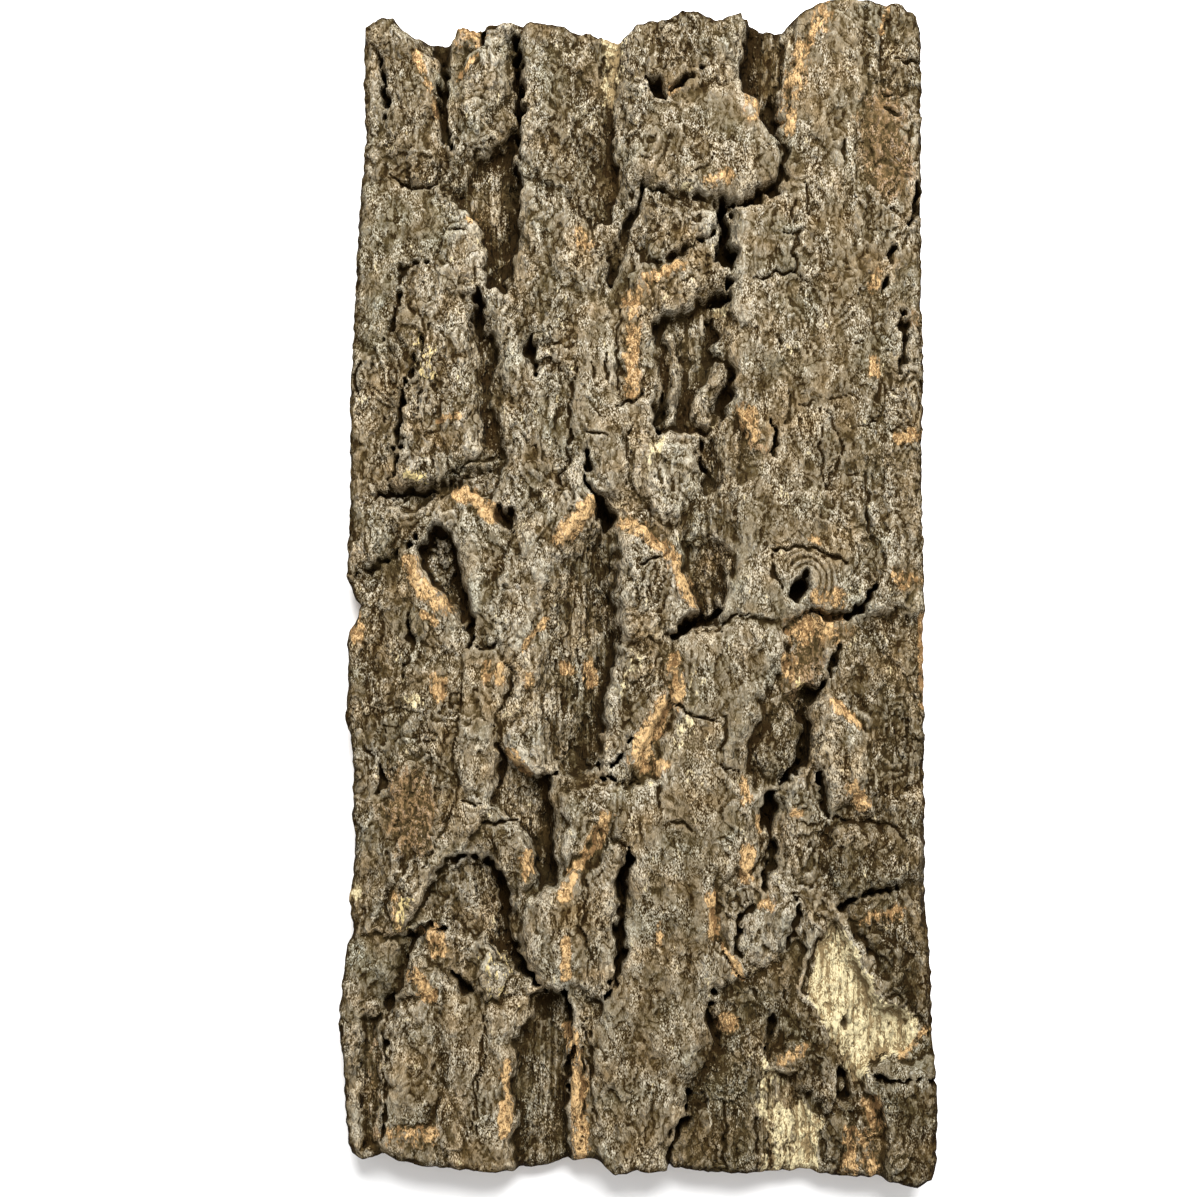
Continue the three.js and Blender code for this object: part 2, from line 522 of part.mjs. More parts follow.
// Fissures and gaps between the plates: a path, its full width, and the level of its floor.
const fissures = [
  {
    name: "black slot by the ridge",
    floor: 5, width: 4.5,
    path: [[-63.5, 286], [-65.5, 275], [-65, 262], [-63, 250], [-62, 240], [-63, 230]],
  },
  {
    name: "slot beside the finger",
    floor: 9, width: 3.8,
    path: [[-103, 277], [-103, 262], [-104, 246], [-102, 234], [-101, 226]],
  },
  {
    name: "slit in the finger",
    floor: 13, width: 3,
    path: [[-136, 277], [-135, 262], [-133, 244]],
  },
  {
    name: "pit under the ridge",
    floor: 11, width: 4.2,
    path: [[2, 203], [-4, 193], [-9, 180], [-13, 167], [-15, 152]],
  },
  {
    name: "pits in the centre plate",
    floor: 18, width: 3.8,
    path: [[4, 264], [10, 259], [14, 252]],
  },
  {
    name: "top valley slot",
    floor: 5, width: 5.6,
    path: [[69, 258], [70, 248], [71, 236]],
  },
  {
    name: "joint round the centre plate",
    floor: 20, width: 2.8,
    path: [[73, 236], [76, 224], [74, 211], [70, 203], [60, 199], [50, 196], [43, 194]],
  },
  {
    name: "black slot beside the scale",
    floor: 3, width: 5.3,
    path: [[46, 199], [46, 184], [46, 166], [46.5, 145]],
  },
  {
    name: "recess under the scale",
    floor: 20, width: 2.4,
    path: [[44, 186], [36, 179], [24, 172], [8, 165]],
  },
  {
    name: "gap over the tilted scale",
    floor: 22, width: 2.2,
    path: [[-6, 200], [2, 203], [10, 203], [20, 200], [31, 200], [38, 197], [45, 194]],
  },
  {
    name: "recess slot left",
    floor: 8, width: 3.4,
    path: [[10.5, 99], [10.5, 88], [10, 77]],
  },
  {
    name: "recess slot middle",
    floor: 11, width: 3.6,
    path: [[25, 120], [25, 108], [25, 98]],
  },
  {
    name: "recess slot right",
    floor: 7, width: 4.1,
    path: [[39, 144], [39, 132], [38.5, 122]],
  },
  {
    name: "recess slot outer",
    floor: 8, width: 4.4,
    path: [[48, 104], [45, 94], [42, 82]],
  },
  {
    name: "black hole over the keel",
    floor: 4, width: 5.6,
    path: [[-24, 43], [-19, 38], [-18, 31], [-20, 25]],
  },
  {
    name: "chute bottom slot",
    floor: 6, width: 4.4,
    path: [[41, -18], [35, -22], [27, -24], [21, -28], [16, -32]],
  },
  {
    name: "crack left of the block",
    floor: 17, width: 2.2,
    path: [[-113, 131], [-117, 120], [-120, 108], [-124, 95], [-126, 84], [-127, 76], [-127, 64],
      [-128, 54], [-132, 47]],
  },
  {
    name: "slot over the block",
    floor: 7, width: 4.4,
    path: [[-86, 151], [-85, 143], [-85, 135], [-84, 126]],
  },
  {
    name: "hook crack",
    floor: 20, width: 2.6,
    path: [[-112, 166], [-118, 165], [-124, 163], [-127, 156], [-126, 148], [-128, 140], [-132, 130],
      [-137, 122]],
  },
  {
    name: "left cross groove",
    floor: 18, width: 2.2,
    path: [[-150, 1], [-140, 5], [-130, 9], [-120, 15], [-116, 21]],
  },
  {
    name: "dark pit in the step",
    floor: 4, width: 5.6,
    path: [[-96, 6], [-94, -6], [-93, -16]],
  },
  {
    name: "gap under the step",
    floor: 12, width: 3.4,
    path: [[-93, -15], [-89, -24], [-87, -32], [-88, -38]],
  },
  {
    name: "dark pits by the inner plate",
    floor: 12, width: 4.1,
    path: [[-74, 35], [-69, 30], [-66, 23]],
  },
  {
    name: "inner plate pits",
    floor: 15, width: 3.8,
    path: [[-57, 126], [-56, 120], [-54, 112], [-55, 106]],
  },
  {
    name: "arch shadow",
    floor: 9, width: 3.6,
    path: [[-80, -146], [-74, -153], [-70, -164], [-68, -180], [-64, -194], [-57, -203], [-48, -211]],
  },
  {
    name: "lip shadow",
    floor: 14, width: 2.8,
    path: [[-122, -184], [-116, -185], [-110, -180], [-98, -181]],
  },
  {
    name: "gap right of the tongue",
    floor: 8, width: 3.9,
    path: [[-7, -140], [-7, -148], [-11, -156], [-12, -168], [-10, -180], [-9, -192], [-13, -205],
      [-18, -217]],
  },
  {
    name: "gap under the keel",
    floor: 16, width: 2.4,
    path: [[-50, -104], [-40, -103], [-30, -98], [-22, -98], [-19, -104], [-8, -107], [3, -107]],
  },
  {
    name: "black right fissure",
    floor: 6, width: 3.6,
    path: [[95, -56], [90, -62], [86, -70], [86, -80], [85, -90], [82, -97], [76, -103]],
  },
  {
    name: "thin end of the fissure",
    floor: 15, width: 3,
    path: [[103, -35], [100, -46], [95, -56]],
  },
  {
    name: "crack inside the lens",
    floor: 13, width: 3,
    path: [[91, -102], [93, -110], [94, -119], [96, -126]],
  },
  {
    name: "step under the knot plate",
    floor: 10, width: 3.9,
    path: [[122, -3], [119, -10], [115, -17], [107, -20]],
  },
  {
    name: "gap round the granular knob",
    floor: 22, width: 2,
    path: [[57, -166], [51, -176], [49, -188], [51, -199]],
  },
  {
    name: "gap right of the granular knob",
    floor: 17, width: 2.2,
    path: [[78, -164], [80, -174], [78, -184], [71, -193]],
  },
  {
    name: "crack in the pale hollow",
    floor: 15, width: 1.6,
    path: [[104, -222], [105, -236], [104, -247], [104, -258]],
  },
  {
    name: "gap right of the curled knob",
    floor: 9, width: 3,
    path: [[101, -250], [103, -258], [102, -269]],
  },
  {
    name: "shadow by the big plate",
    floor: 15, width: 3,
    path: [[38, -212], [36, -222], [35, -231], [38, -240]],
  },
  {
    name: "foot of the big plate",
    floor: 13, width: 3,
    path: [[23, -262], [22, -276], [15, -288], [12, -312]],
  },
  {
    name: "dark hole below the knob",
    floor: 16, width: 3,
    path: [[64, -223], [66, -232], [62, -240]],
  },
  {
    name: "groove beside the bottom column",
    floor: 17, width: 3,
    path: [[-130, -224], [-129, -250], [-129, -292]],
  },
  {
    name: "holes in the gritty field",
    floor: 10, width: 4.4,
    path: [[-94, -204], [-89, -209], [-85, -213]],
  },
  {
    name: "lobe shadow",
    floor: 16, width: 3.2,
    path: [[-117, -187], [-118, -198], [-123, -210], [-130, -219]],
  },
  {
    name: "left of the channel wall",
    floor: 11, width: 2.6,
    path: [[-39, -212], [-37, -226], [-35, -242], [-36, -260]],
  },
  {
    name: "corner block crack",
    floor: 24, width: 1.6,
    path: [[116, -250], [124, -256], [134, -254], [150, -257]],
  },
  {
    name: "right margin slot",
    floor: 12, width: 3.8,
    path: [[146, 208], [144, 196], [141, 184]],
  },
  {
    name: "right margin groove",
    floor: 18, width: 2.2,
    path: [[134, 172], [129, 158], [126, 148]],
  },
  {
    name: "right margin slit",
    floor: 19, width: 2,
    path: [[138, 142], [137, 128], [137, 114], [136, 104]],
  },
  {
    name: "slot below the ridge",
    floor: 8, width: 4.5,
    path: [[-64, 216], [-64, 206], [-67, 196]],
  },
  {
    name: "cube gap",
    floor: 12, width: 2.5,
    path: [[-83, 296], [-83, 282]],
  },
  {
    name: "second pit in the centre plate",
    floor: 17, width: 4.1,
    path: [[17, 257], [24, 265], [30, 269], [37, 270]],
  },
  {
    name: "corner below the black slot",
    floor: 10, width: 4.5,
    path: [[47, 150], [41, 145], [36, 143]],
  },
  {
    name: "crack over the black hole",
    floor: 14, width: 2.8,
    path: [[-27, 62], [-27, 55], [-28, 48], [-24, 43]],
  },
  {
    name: "recess slot under the scale",
    floor: 11, width: 3.8,
    path: [[33, 72], [33, 60], [34, 46]],
  },
  {
    name: "thin end of the step",
    floor: 20, width: 2.2,
    path: [[109, -20], [101, -21], [96, -23], [91, -19]],
  },
  {
    name: "crescent by the orange scar",
    floor: 17, width: 2.6,
    path: [[68, 80], [70, 72], [68, 63]],
  },
  {
    name: "holes in the left column",
    floor: 20, width: 2,
    path: [[-121, -20], [-120, -32], [-121, -45], [-122, -60]],
  },
  {
    name: "left column pit",
    floor: 16, width: 2.4,
    path: [[-133, -98], [-132, -104], [-133, -110]],
  },
  {
    name: "arch top",
    floor: 14, width: 2.6,
    path: [[-104, -154], [-97, -148], [-90, -146], [-81, -146]],
  },
  {
    name: "crescent beside the round knob",
    floor: 12, width: 3,
    path: [[-55, -136], [-52, -148], [-53, -159]],
  },
  {
    name: "notch right of the keel",
    floor: 12, width: 3,
    path: [[-13, -99], [-9, -92], [-5, -84]],
  },
  {
    name: "lower black slot",
    floor: 3, width: 5,
    path: [[77, -101], [72, -107], [67, -114], [66, -122], [67, -134]],
  },
  {
    name: "brown end of the fissure",
    floor: 12, width: 4.2,
    path: [[67, -132], [66, -145], [64, -158]],
  },
  {
    name: "flake top crack",
    floor: 20, width: 2,
    path: [[102, -170], [106, -166], [116, -164], [130, -161]],
  },
];

// Soft valleys between the raised parts: a path, its half width, and how deep it sinks.
const valleys = [
  {
    depth: 3, width: 9,
    path: [[-67, 285], [-68, 262], [-66, 240], [-70, 222], [-70, 200], [-68, 175]],
  },
  {
    depth: 3, width: 12,
    path: [[-70, 232], [-84, 220], [-97, 205]],
  },
  {
    depth: 4, width: 13,
    path: [[-22, 222], [-12, 195], [-12, 165], [-14, 150]],
  },
  {
    depth: 4, width: 13,
    path: [[-82, 128], [-78, 105], [-76, 85], [-71, 65]],
  },
  {
    depth: 3, width: 9,
    path: [[-135, 44], [-118, 42], [-104, 44], [-92, 52], [-75, 58]],
  },
  {
    depth: 4, width: 16,
    path: [[-152, -6], [-138, 0], [-126, 8], [-118, 20]],
  },
  {
    depth: 3, width: 13,
    path: [[-18, 30], [-18, 0], [-20, -30], [-22, -60], [-28, -85], [-35, -95]],
  },
  {
    depth: 4, width: 11,
    path: [[-50, -112], [-48, -130], [-47, -150]],
  },
  {
    depth: 4, width: 13,
    path: [[-80, -150], [-72, -165], [-68, -185], [-60, -202]],
  },
  {
    depth: 3, width: 12,
    path: [[44, 148], [42, 118], [44, 100], [40, 80], [36, 60], [34, 45]],
  },
  {
    depth: 3, width: 9,
    path: [[-116, -188], [-122, -205], [-134, -222]],
  },
  {
    depth: 3, width: 12,
    path: [[96, -58], [88, -68], [86, -85]],
  },
  {
    depth: 2, width: 9,
    path: [[72, -108], [67, -122], [66, -145]],
  },
  {
    depth: 2, width: 8,
    path: [[-9, -145], [-11, -170], [-10, -195]],
  },
  {
    depth: 3, width: 9,
    path: [[98, -240], [104, -256], [102, -268]],
  },
  {
    depth: 3, width: 11,
    path: [[37, -215], [38, -235], [30, -255], [22, -275], [14, -292]],
  },
  {
    depth: 3, width: 12,
    path: [[62, -225], [66, -238]],
  },
  {
    depth: 2, width: 10,
    path: [[-112, 284], [-103, 270]],
  },
  {
    depth: 3, width: 9,
    path: [[62, 292], [62, 275], [60, 262]],
  },
  {
    depth: 2, width: 9,
    path: [[46, 190], [45, 160], [42, 145]],
  },
  {
    depth: 3, width: 12,
    path: [[-98, 5], [-94, -12], [-89, -28]],
  },
  {
    depth: 1, width: 12,
    path: [[-35, -60], [-38, -85], [-35, -105]],
  },
  {
    depth: 1, width: 8,
    path: [[50, 78], [50, 52]],
  },
  {
    depth: 2, width: 9,
    path: [[148, -95], [148, -205]],
  },
];

// A repeatable random value from 0 to 1 for each cell of a square lattice.
function cellValue(column, row, seed) {
  const wave = Math.sin(column * 127.1 + row * 311.7 + seed * 74.7) * 43758.5453;
  return wave - Math.floor(wave);
}

// Smoothly varying random value from -1 to 1; sizeX and sizeY are the lattice steps.
function drift(x, y, sizeX, sizeY, seed) {
  const column = Math.floor(x / sizeX);
  const row = Math.floor(y / sizeY);
  const u = THREE.MathUtils.smoothstep(x / sizeX - column, 0, 1);
  const v = THREE.MathUtils.smoothstep(y / sizeY - row, 0, 1);
  const low = THREE.MathUtils.lerp(cellValue(column, row, seed), cellValue(column + 1, row, seed), u);
  const high = THREE.MathUtils.lerp(
    cellValue(column, row + 1, seed), cellValue(column + 1, row + 1, seed), u);
  return 2 * THREE.MathUtils.lerp(low, high, v) - 1;
}

// Distance from a point to a straight piece between two ends, and where along it the foot falls.
function pieceDistance(x, y, from, to) {
  const runX = to[0] - from[0];
  const runY = to[1] - from[1];
  const along = ((x - from[0]) * runX + (y - from[1]) * runY) / (runX * runX + runY * runY);
  const share = THREE.MathUtils.clamp(along, 0, 1);
  return { gap: Math.hypot(x - from[0] - share * runX, y - from[1] - share * runY), share };
}

// Signed distance to a closed outline: positive inside, negative outside.
function outlineDistance(x, y, outline) {
  let nearest = Infinity;
  let inside = false;
  let from = outline[outline.length - 1];
  for (const to of outline) {
    nearest = Math.min(nearest, pieceDistance(x, y, from, to).gap);
    const crosses = (from[1] > y) !== (to[1] > y);
    if (crosses && x < from[0] + ((y - from[1]) * (to[0] - from[0])) / (to[1] - from[1])) {
      inside = !inside;
    }
    from = to;
  }
  return inside ? nearest : -nearest;
}

// Distance to an open path, and how far along the path (0 to 1) the nearest spot lies.
function pathDistance(x, y, path) {
  let nearest = Infinity;
  let where = 0;
  for (let i = 1; i < path.length; i += 1) {
    const piece = pieceDistance(x, y, path[i - 1], path[i]);
    if (piece.gap < nearest) {
      nearest = piece.gap;
      where = (i - 1 + piece.share) / (path.length - 1);
    }
  }
  return { nearest, where };
}

// The box round a list of points, to skip features that lie elsewhere.
function boxOf(points) {
  const xs = points.map((point) => point[0]);
  const ys = points.map((point) => point[1]);
  return { west: Math.min(...xs), east: Math.max(...xs), south: Math.min(...ys), north: Math.max(...ys) };
}

function nearBox(x, y, box, margin) {
  const across = x > box.west - margin && x < box.east + margin;
  return across && y > box.south - margin && y < box.north + margin;
}

// The rim: a smooth closed curve through the drawn outline, cut into even steps.
const rimGuide = [...topRim, ...rightRim, ...bottomRim, ...leftRim];
const rimCurve = new THREE.CatmullRomCurve3(
  rimGuide.map((point) => new THREE.Vector3(point[0], point[1], 0)), true, "centripetal");
const rimSteps = Math.round(rimCurve.getLength() / rimSpacing);
const rim = rimCurve.getSpacedPoints(rimSteps).slice(0, rimSteps).map((point) => [point.x, point.y]);

for (const plate of plates) {
  plate.box = boxOf(plate.outline);
  plate.middle = [(plate.box.west + plate.box.east) / 2, (plate.box.south + plate.box.north) / 2];
}
for (const fissure of fissures) {
  fissure.box = boxOf(fissure.path);
}
for (const valley of valleys) {
  valley.box = boxOf(valley.path);
}

// Level of one plate or hollow at a point that lies a given depth inside its outline.
function plateLevel(plate, x, y, depth) {
  const sharpness = 1 + edgeSwing * drift(x, y, edgeRun, edgeRun, 10);
  const inward = THREE.MathUtils.clamp(depth / plate.reach, 0, 1);
  const tilt = plate.lean[0] * (x - plate.middle[0]) + plate.lean[1] * (y - plate.middle[1]);
  return plate.height + tilt + sharpness * plate.edge * (1 - inward) ** 2;
}

// Height of the bark face above the back.
function barkHeight(x, y) {
  const warpX = x + raggedReach * drift(x, y, raggedSize, raggedSize, 3);
  const warpY = y + raggedReach * drift(x, y, raggedSize, raggedSize, 4);
  const stretch = 2 ** (wallSwing * drift(x, y, wallRun, wallRun, 7));
  const pinch = 1 + fissureSwing * drift(x, y, fissureRun, fissureRun, 8);
  let height = valleyHeight + valleyDrift * drift(x, y, driftAcross, driftAlong, 1);
  for (const plate of plates) {
    if (nearBox(warpX, warpY, plate.box, plate.wall)) {
      const depth = outlineDistance(warpX, warpY, plate.outline);
      const halfWall = (stretch * plate.wall) / 2;
      const cover = THREE.MathUtils.smoothstep(depth, -halfWall, halfWall);
      height = THREE.MathUtils.lerp(height, plateLevel(plate, x, y, depth), cover);
    }
  }
  height += lumpHeight * drift(x, y, lumpAcross, lumpAlong, 2);
  height += swellHeight * drift(x, y, swellAcross, swellAlong, 9);
  for (const valley of valleys) {
    if (nearBox(warpX, warpY, valley.box, valley.width)) {
      const { nearest } = pathDistance(warpX, warpY, valley.path);
      height -= valley.depth * (1 - THREE.MathUtils.smoothstep(nearest, 0, valley.width));
    }
  }
  for (const fissure of fissures) {
    if (nearBox(warpX, warpY, fissure.box, fissure.width)) {
      const { nearest, where } = pathDistance(warpX, warpY, fissure.path);
      const taper = Math.sqrt(Math.sin(Math.PI * THREE.MathUtils.clamp(where, 0.04, 0.96)));
      const half = (fissure.width / 2) * taper * pinch;
      const cut = 1 - THREE.MathUtils.smoothstep(nearest, half * (1 - fissureFlank), half * (1 + fissureFlank));
      const floor = fissure.floor + floorSwing * drift(x, y, fissureRun, fissureRun, 11);
      height = THREE.MathUtils.lerp(height, Math.min(height, floor), cut);
    }
  }
  const inland = THREE.MathUtils.clamp(outlineDistance(x, y, rim) / rimRound, 0, 1);
  return Math.max(leastHeight, height - rimDrop * (1 - inland) ** 2);
}

// Triangles over scattered points, kept so that no point lies inside another triangle's circle.
const points = [[-farAway, -farAway], [farAway, -farAway], [0, farAway]];
const heights = [0, 0, 0];
let triangles = [];

function makeTriangle(a, b, c) {
  const [ax, ay] = points[a];
  const bx = points[b][0] - ax;
  const by = points[b][1] - ay;
  const cx = points[c][0] - ax;
  const cy = points[c][1] - ay;
  const twiceArea = 2 * (bx * cy - by * cx);
  const centreX = (cy * (bx * bx + by * by) - by * (cx * cx + cy * cy)) / twiceArea;
  const centreY = (bx * (cx * cx + cy * cy) - cx * (bx * bx + by * by)) / twiceArea;
  return {
    corners: [a, b, c],
    centreX: ax + centreX,
    centreY: ay + centreY,
    reach: centreX * centreX + centreY * centreY,
  };
}

function addPoint(x, y) {
  const added = points.length;
  points.push([x, y]);
  heights.push(barkHeight(x, y));
  const openEdges = new Map();
  const kept = [];
  for (const triangle of triangles) {
    const apart = (x - triangle.centreX) ** 2 + (y - triangle.centreY) ** 2;
    if (apart >= triangle.reach) {
      kept.push(triangle);
      continue;
    }
    triangle.corners.forEach((from, i) => {
      const to = triangle.corners[(i + 1) % 3];
      if (!openEdges.delete(`${to},${from}`)) {
        openEdges.set(`${from},${to}`, [from, to]);
      }
    });
  }
  for (const [from, to] of openEdges.values()) {
    kept.push(makeTriangle(from, to, added));
  }
  triangles = kept;
}

function hasRoom(x, y) {
  if (outlineDistance(x, y, rim) < nearestRim) {
    return false;
  }
  return points.every((point) => Math.hypot(point[0] - x, point[1] - y) >= nearestPoint);
}

triangles.push(makeTriangle(0, 1, 2));
rim.forEach((point) => addPoint(point[0], point[1]));

// Points along the floor and both lips of every fissure.
for (const fissure of fissures) {
  const path = new THREE.CurvePath();
  for (let i = 1; i < fissure.path.length; i += 1) {
    path.add(new THREE.LineCurve(
      new THREE.Vector2(...fissure.path[i - 1]), new THREE.Vector2(...fissure.path[i])));
  }
  const steps = Math.max(2, Math.round(path.getLength() / pathSpacing));
  for (let i = 0; i <= steps; i += 1) {
    const spot = path.getPointAt(i / steps);
    const heading = path.getTangentAt(i / steps);
    for (const side of [0, -1, 1]) {
      const x = spot.x - (side * heading.y * fissure.width) / 2;
      const y = spot.y + (side * heading.x * fissure.width) / 2;
      if (hasRoom(x, y)) {
        addPoint(x, y);
      }
    }
  }
}

// An even scatter over the rest.
const slabBox = boxOf(rim);
for (let y = slabBox.south; y < slabBox.north; y += fillSpacing) {
  for (let x = slabBox.west; x < slabBox.east; x += fillSpacing) {
    const shiftedX = x + fillScatter * (2 * cellValue(x, y, 5) - 1);
    const shiftedY = y + fillScatter * (2 * cellValue(x, y, 6) - 1);
    if (hasRoom(shiftedX, shiftedY)) {
      addPoint(shiftedX, shiftedY);
    }
  }
}

// Where the flat triangle departs most from the bark, among a few spots spread over it.
const probes = [
  [0.34, 0.33, 0.33], [0.6, 0.2, 0.2], [0.2, 0.6, 0.2], [0.2, 0.2, 0.6],
  [0.46, 0.46, 0.08], [0.46, 0.08, 0.46], [0.08, 0.46, 0.46],
];

function worstSpot(triangle) {
  const [a, b, c] = triangle.corners;
  let worst = { miss: 0, x: 0, y: 0 };
  for (const [u, v, w] of probes) {
    const x = u * points[a][0] + v * points[b][0] + w * points[c][0];
    const y = u * points[a][1] + v * points[b][1] + w * points[c][1];
    const flat = u * heights[a] + v * heights[b] + w * heights[c];
    const miss = Math.abs(barkHeight(x, y) - flat);
    if (miss > worst.miss) {
      worst = { miss, x, y };
    }
  }
  return worst;
}

function onSlab(triangle) {
  const middleX = triangle.corners.reduce((sum, corner) => sum + points[corner][0], 0) / 3;
  const middleY = triangle.corners.reduce((sum, corner) => sum + points[corner][1], 0) / 3;
  return outlineDistance(middleX, middleY, rim) > 0;
}

while (points.length < pointBudget) {
  const wanted = Math.min(Math.ceil(points.length * refineShare), pointBudget - points.length);
  const spots = triangles.filter(onSlab).map(worstSpot).sort((one, other) => other.miss - one.miss);
  let added = 0;
  for (const spot of spots) {
    if (added < wanted && hasRoom(spot.x, spot.y)) {
      addPoint(spot.x, spot.y);
      added += 1;
    }
  }
  if (added === 0) {
    break;
  }
}

// The closed body: bark face, straight sides below the rim, flat back.
const firstRim = 3;
const placed = points.slice(firstRim).map((point, i) => [point[0], point[1], heights[i + firstRim]]);
const barkFaces = triangles.filter(onSlab).map((triangle) => triangle.corners.map((corner) => corner - firstRim));
const firstBack = placed.length;
rim.forEach((point) => placed.push([point[0], point[1], 0]));
const sideFaces = [];
rim.forEach((point, i) => {
  const next = (i + 1) % rim.length;
  sideFaces.push([i, next, firstBack + next]);
  sideFaces.push([i, firstBack + next, firstBack + i]);
});
const backFaces = THREE.ShapeUtils.triangulateShape(
  rim.map((point) => new THREE.Vector2(point[0], point[1])), [],
).map((face) => [face[2] + firstBack, face[1] + firstBack, face[0] + firstBack]);

const geometry = new THREE.BufferGeometry();
geometry.setAttribute("position", new THREE.Float32BufferAttribute(placed.flat(), 3));
geometry.setIndex([...barkFaces, ...sideFaces, ...backFaces].flat());
geometry.translate(-(slabBox.west + slabBox.east) / 2, -(slabBox.south + slabBox.north) / 2, 0);
geometry.computeVertexNormals();

const slab = new THREE.Mesh(geometry, new THREE.MeshStandardMaterial({
  color: barkColour,
  roughness: barkRoughness,
  metalness: 0,
}));
slab.name = "cork_bark_slab";

const part = new THREE.Group();
part.name = "cork_bark_slab_part";
part.add(slab);

export default part;
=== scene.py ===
import math

import bmesh
import bpy
import numpy as np
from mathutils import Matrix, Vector


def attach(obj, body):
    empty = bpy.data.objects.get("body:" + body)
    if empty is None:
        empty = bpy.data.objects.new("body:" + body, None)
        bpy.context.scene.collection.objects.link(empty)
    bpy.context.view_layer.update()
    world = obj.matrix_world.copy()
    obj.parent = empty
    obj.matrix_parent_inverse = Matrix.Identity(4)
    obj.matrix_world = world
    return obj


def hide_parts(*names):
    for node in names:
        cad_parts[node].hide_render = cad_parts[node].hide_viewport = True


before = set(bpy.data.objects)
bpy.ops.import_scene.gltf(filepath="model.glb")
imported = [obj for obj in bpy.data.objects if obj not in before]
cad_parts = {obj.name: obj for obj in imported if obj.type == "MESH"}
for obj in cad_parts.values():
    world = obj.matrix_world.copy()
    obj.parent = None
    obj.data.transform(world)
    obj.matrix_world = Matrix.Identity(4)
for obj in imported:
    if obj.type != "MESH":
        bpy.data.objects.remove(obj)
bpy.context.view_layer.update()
print("frame loaded")

mm = 0.001

# The slab's outline seen from above, in millimetres, round from the top left corner.
topRim = [[-145, 293], [-136, 298], [-130, 296], [-126, 292], [-113, 290], [-103, 287], [-99, 287],
    [-97, 293], [-82, 293], [-62, 295], [-45, 295], [-36, 292], [-20, 289], [-9, 287], [-3, 293], [6, 296],
    [13, 295], [22, 300], [31, 301], [40, 296], [46, 299], [54, 302], [60, 301], [65, 298], [77, 294],
    [82, 298], [89, 303], [103, 308], [120, 309], [140, 305], [147, 299]]
rightRim = [[150, 290], [149.5, 250], [148.5, 200], [148, 160], [147.5, 140], [148, 110], [147, 85],
    [146, 40], [146, 0], [146.5, -20], [146, -65], [145.5, -100], [145, -160], [146, -190], [147, -230],
    [147, -296]]
bottomRim = [[144, -304], [137, -307], [128, -306], [120, -303.5], [98, -304], [86, -301.5], [58, -302],
    [38, -302], [18, -299.5], [5, -300.5], [-5, -300], [-14, -302], [-20, -296], [-26, -294.5],
    [-34, -295.5], [-52, -301], [-72, -301], [-100, -299], [-120, -296], [-129, -292], [-139, -295]]
leftRim = [[-146, -292], [-147.5, -284], [-150, -262], [-151, -250], [-153, -232], [-152, -210],
    [-149.5, -190], [-146, -182], [-148.5, -168], [-146, -138], [-148, -123], [-147.5, -92], [-151.5, -74],
    [-150.5, -45], [-152, -33], [-147, -22], [-144.5, -16], [-149.5, -8], [-153, 1], [-151, 30],
    [-151.5, 100], [-150, 150], [-148, 200], [-145.5, 232], [-146, 255], [-147, 282]]
# Kinds of surface. grain: how fibrous; tone: darker or lighter than the usual bark;
# hue: more olive or browner; rugged: how coarse the fine relief is.
usualKind = {"grain": 0.0, "tone": 0.0, "hue": 0.0, "rugged": 1.0}
barkKinds = {
    "bark": {},
    "smooth": {"tone": -0.1, "rugged": 0.7},
    "grey": {"tone": -0.2, "hue": -0.4, "rugged": 0.7},
    "dusky": {"tone": -0.4},
    "dark": {"tone": -0.8, "hue": -0.2},
    "pale": {"tone": 0.4},
    "warm": {"hue": 0.3},
    "coarse": {"rugged": 1.2},
    "fibrous": {"grain": 1, "rugged": 1.1},
    # the two hollow kinds carry raised tone, painted light that lifts the shade in deep hollows
    "fibrousHollow": {"grain": 0.9, "tone": 0.5, "rugged": 1.3},
    "hollow": {"tone": 0.9, "rugged": 1.4},
    "cream": {"grain": 0.9, "tone": 0.2, "hue": 0.1},
}


def plate(name, kind, height, edge, reach, wall, lean, outline, rings=0):
    shape = {"name": name, "height": height, "edge": edge, "reach": reach, "wall": wall, "lean": lean}
    return {**usualKind, **barkKinds[kind], **shape, "outline": outline, "rings": rings}


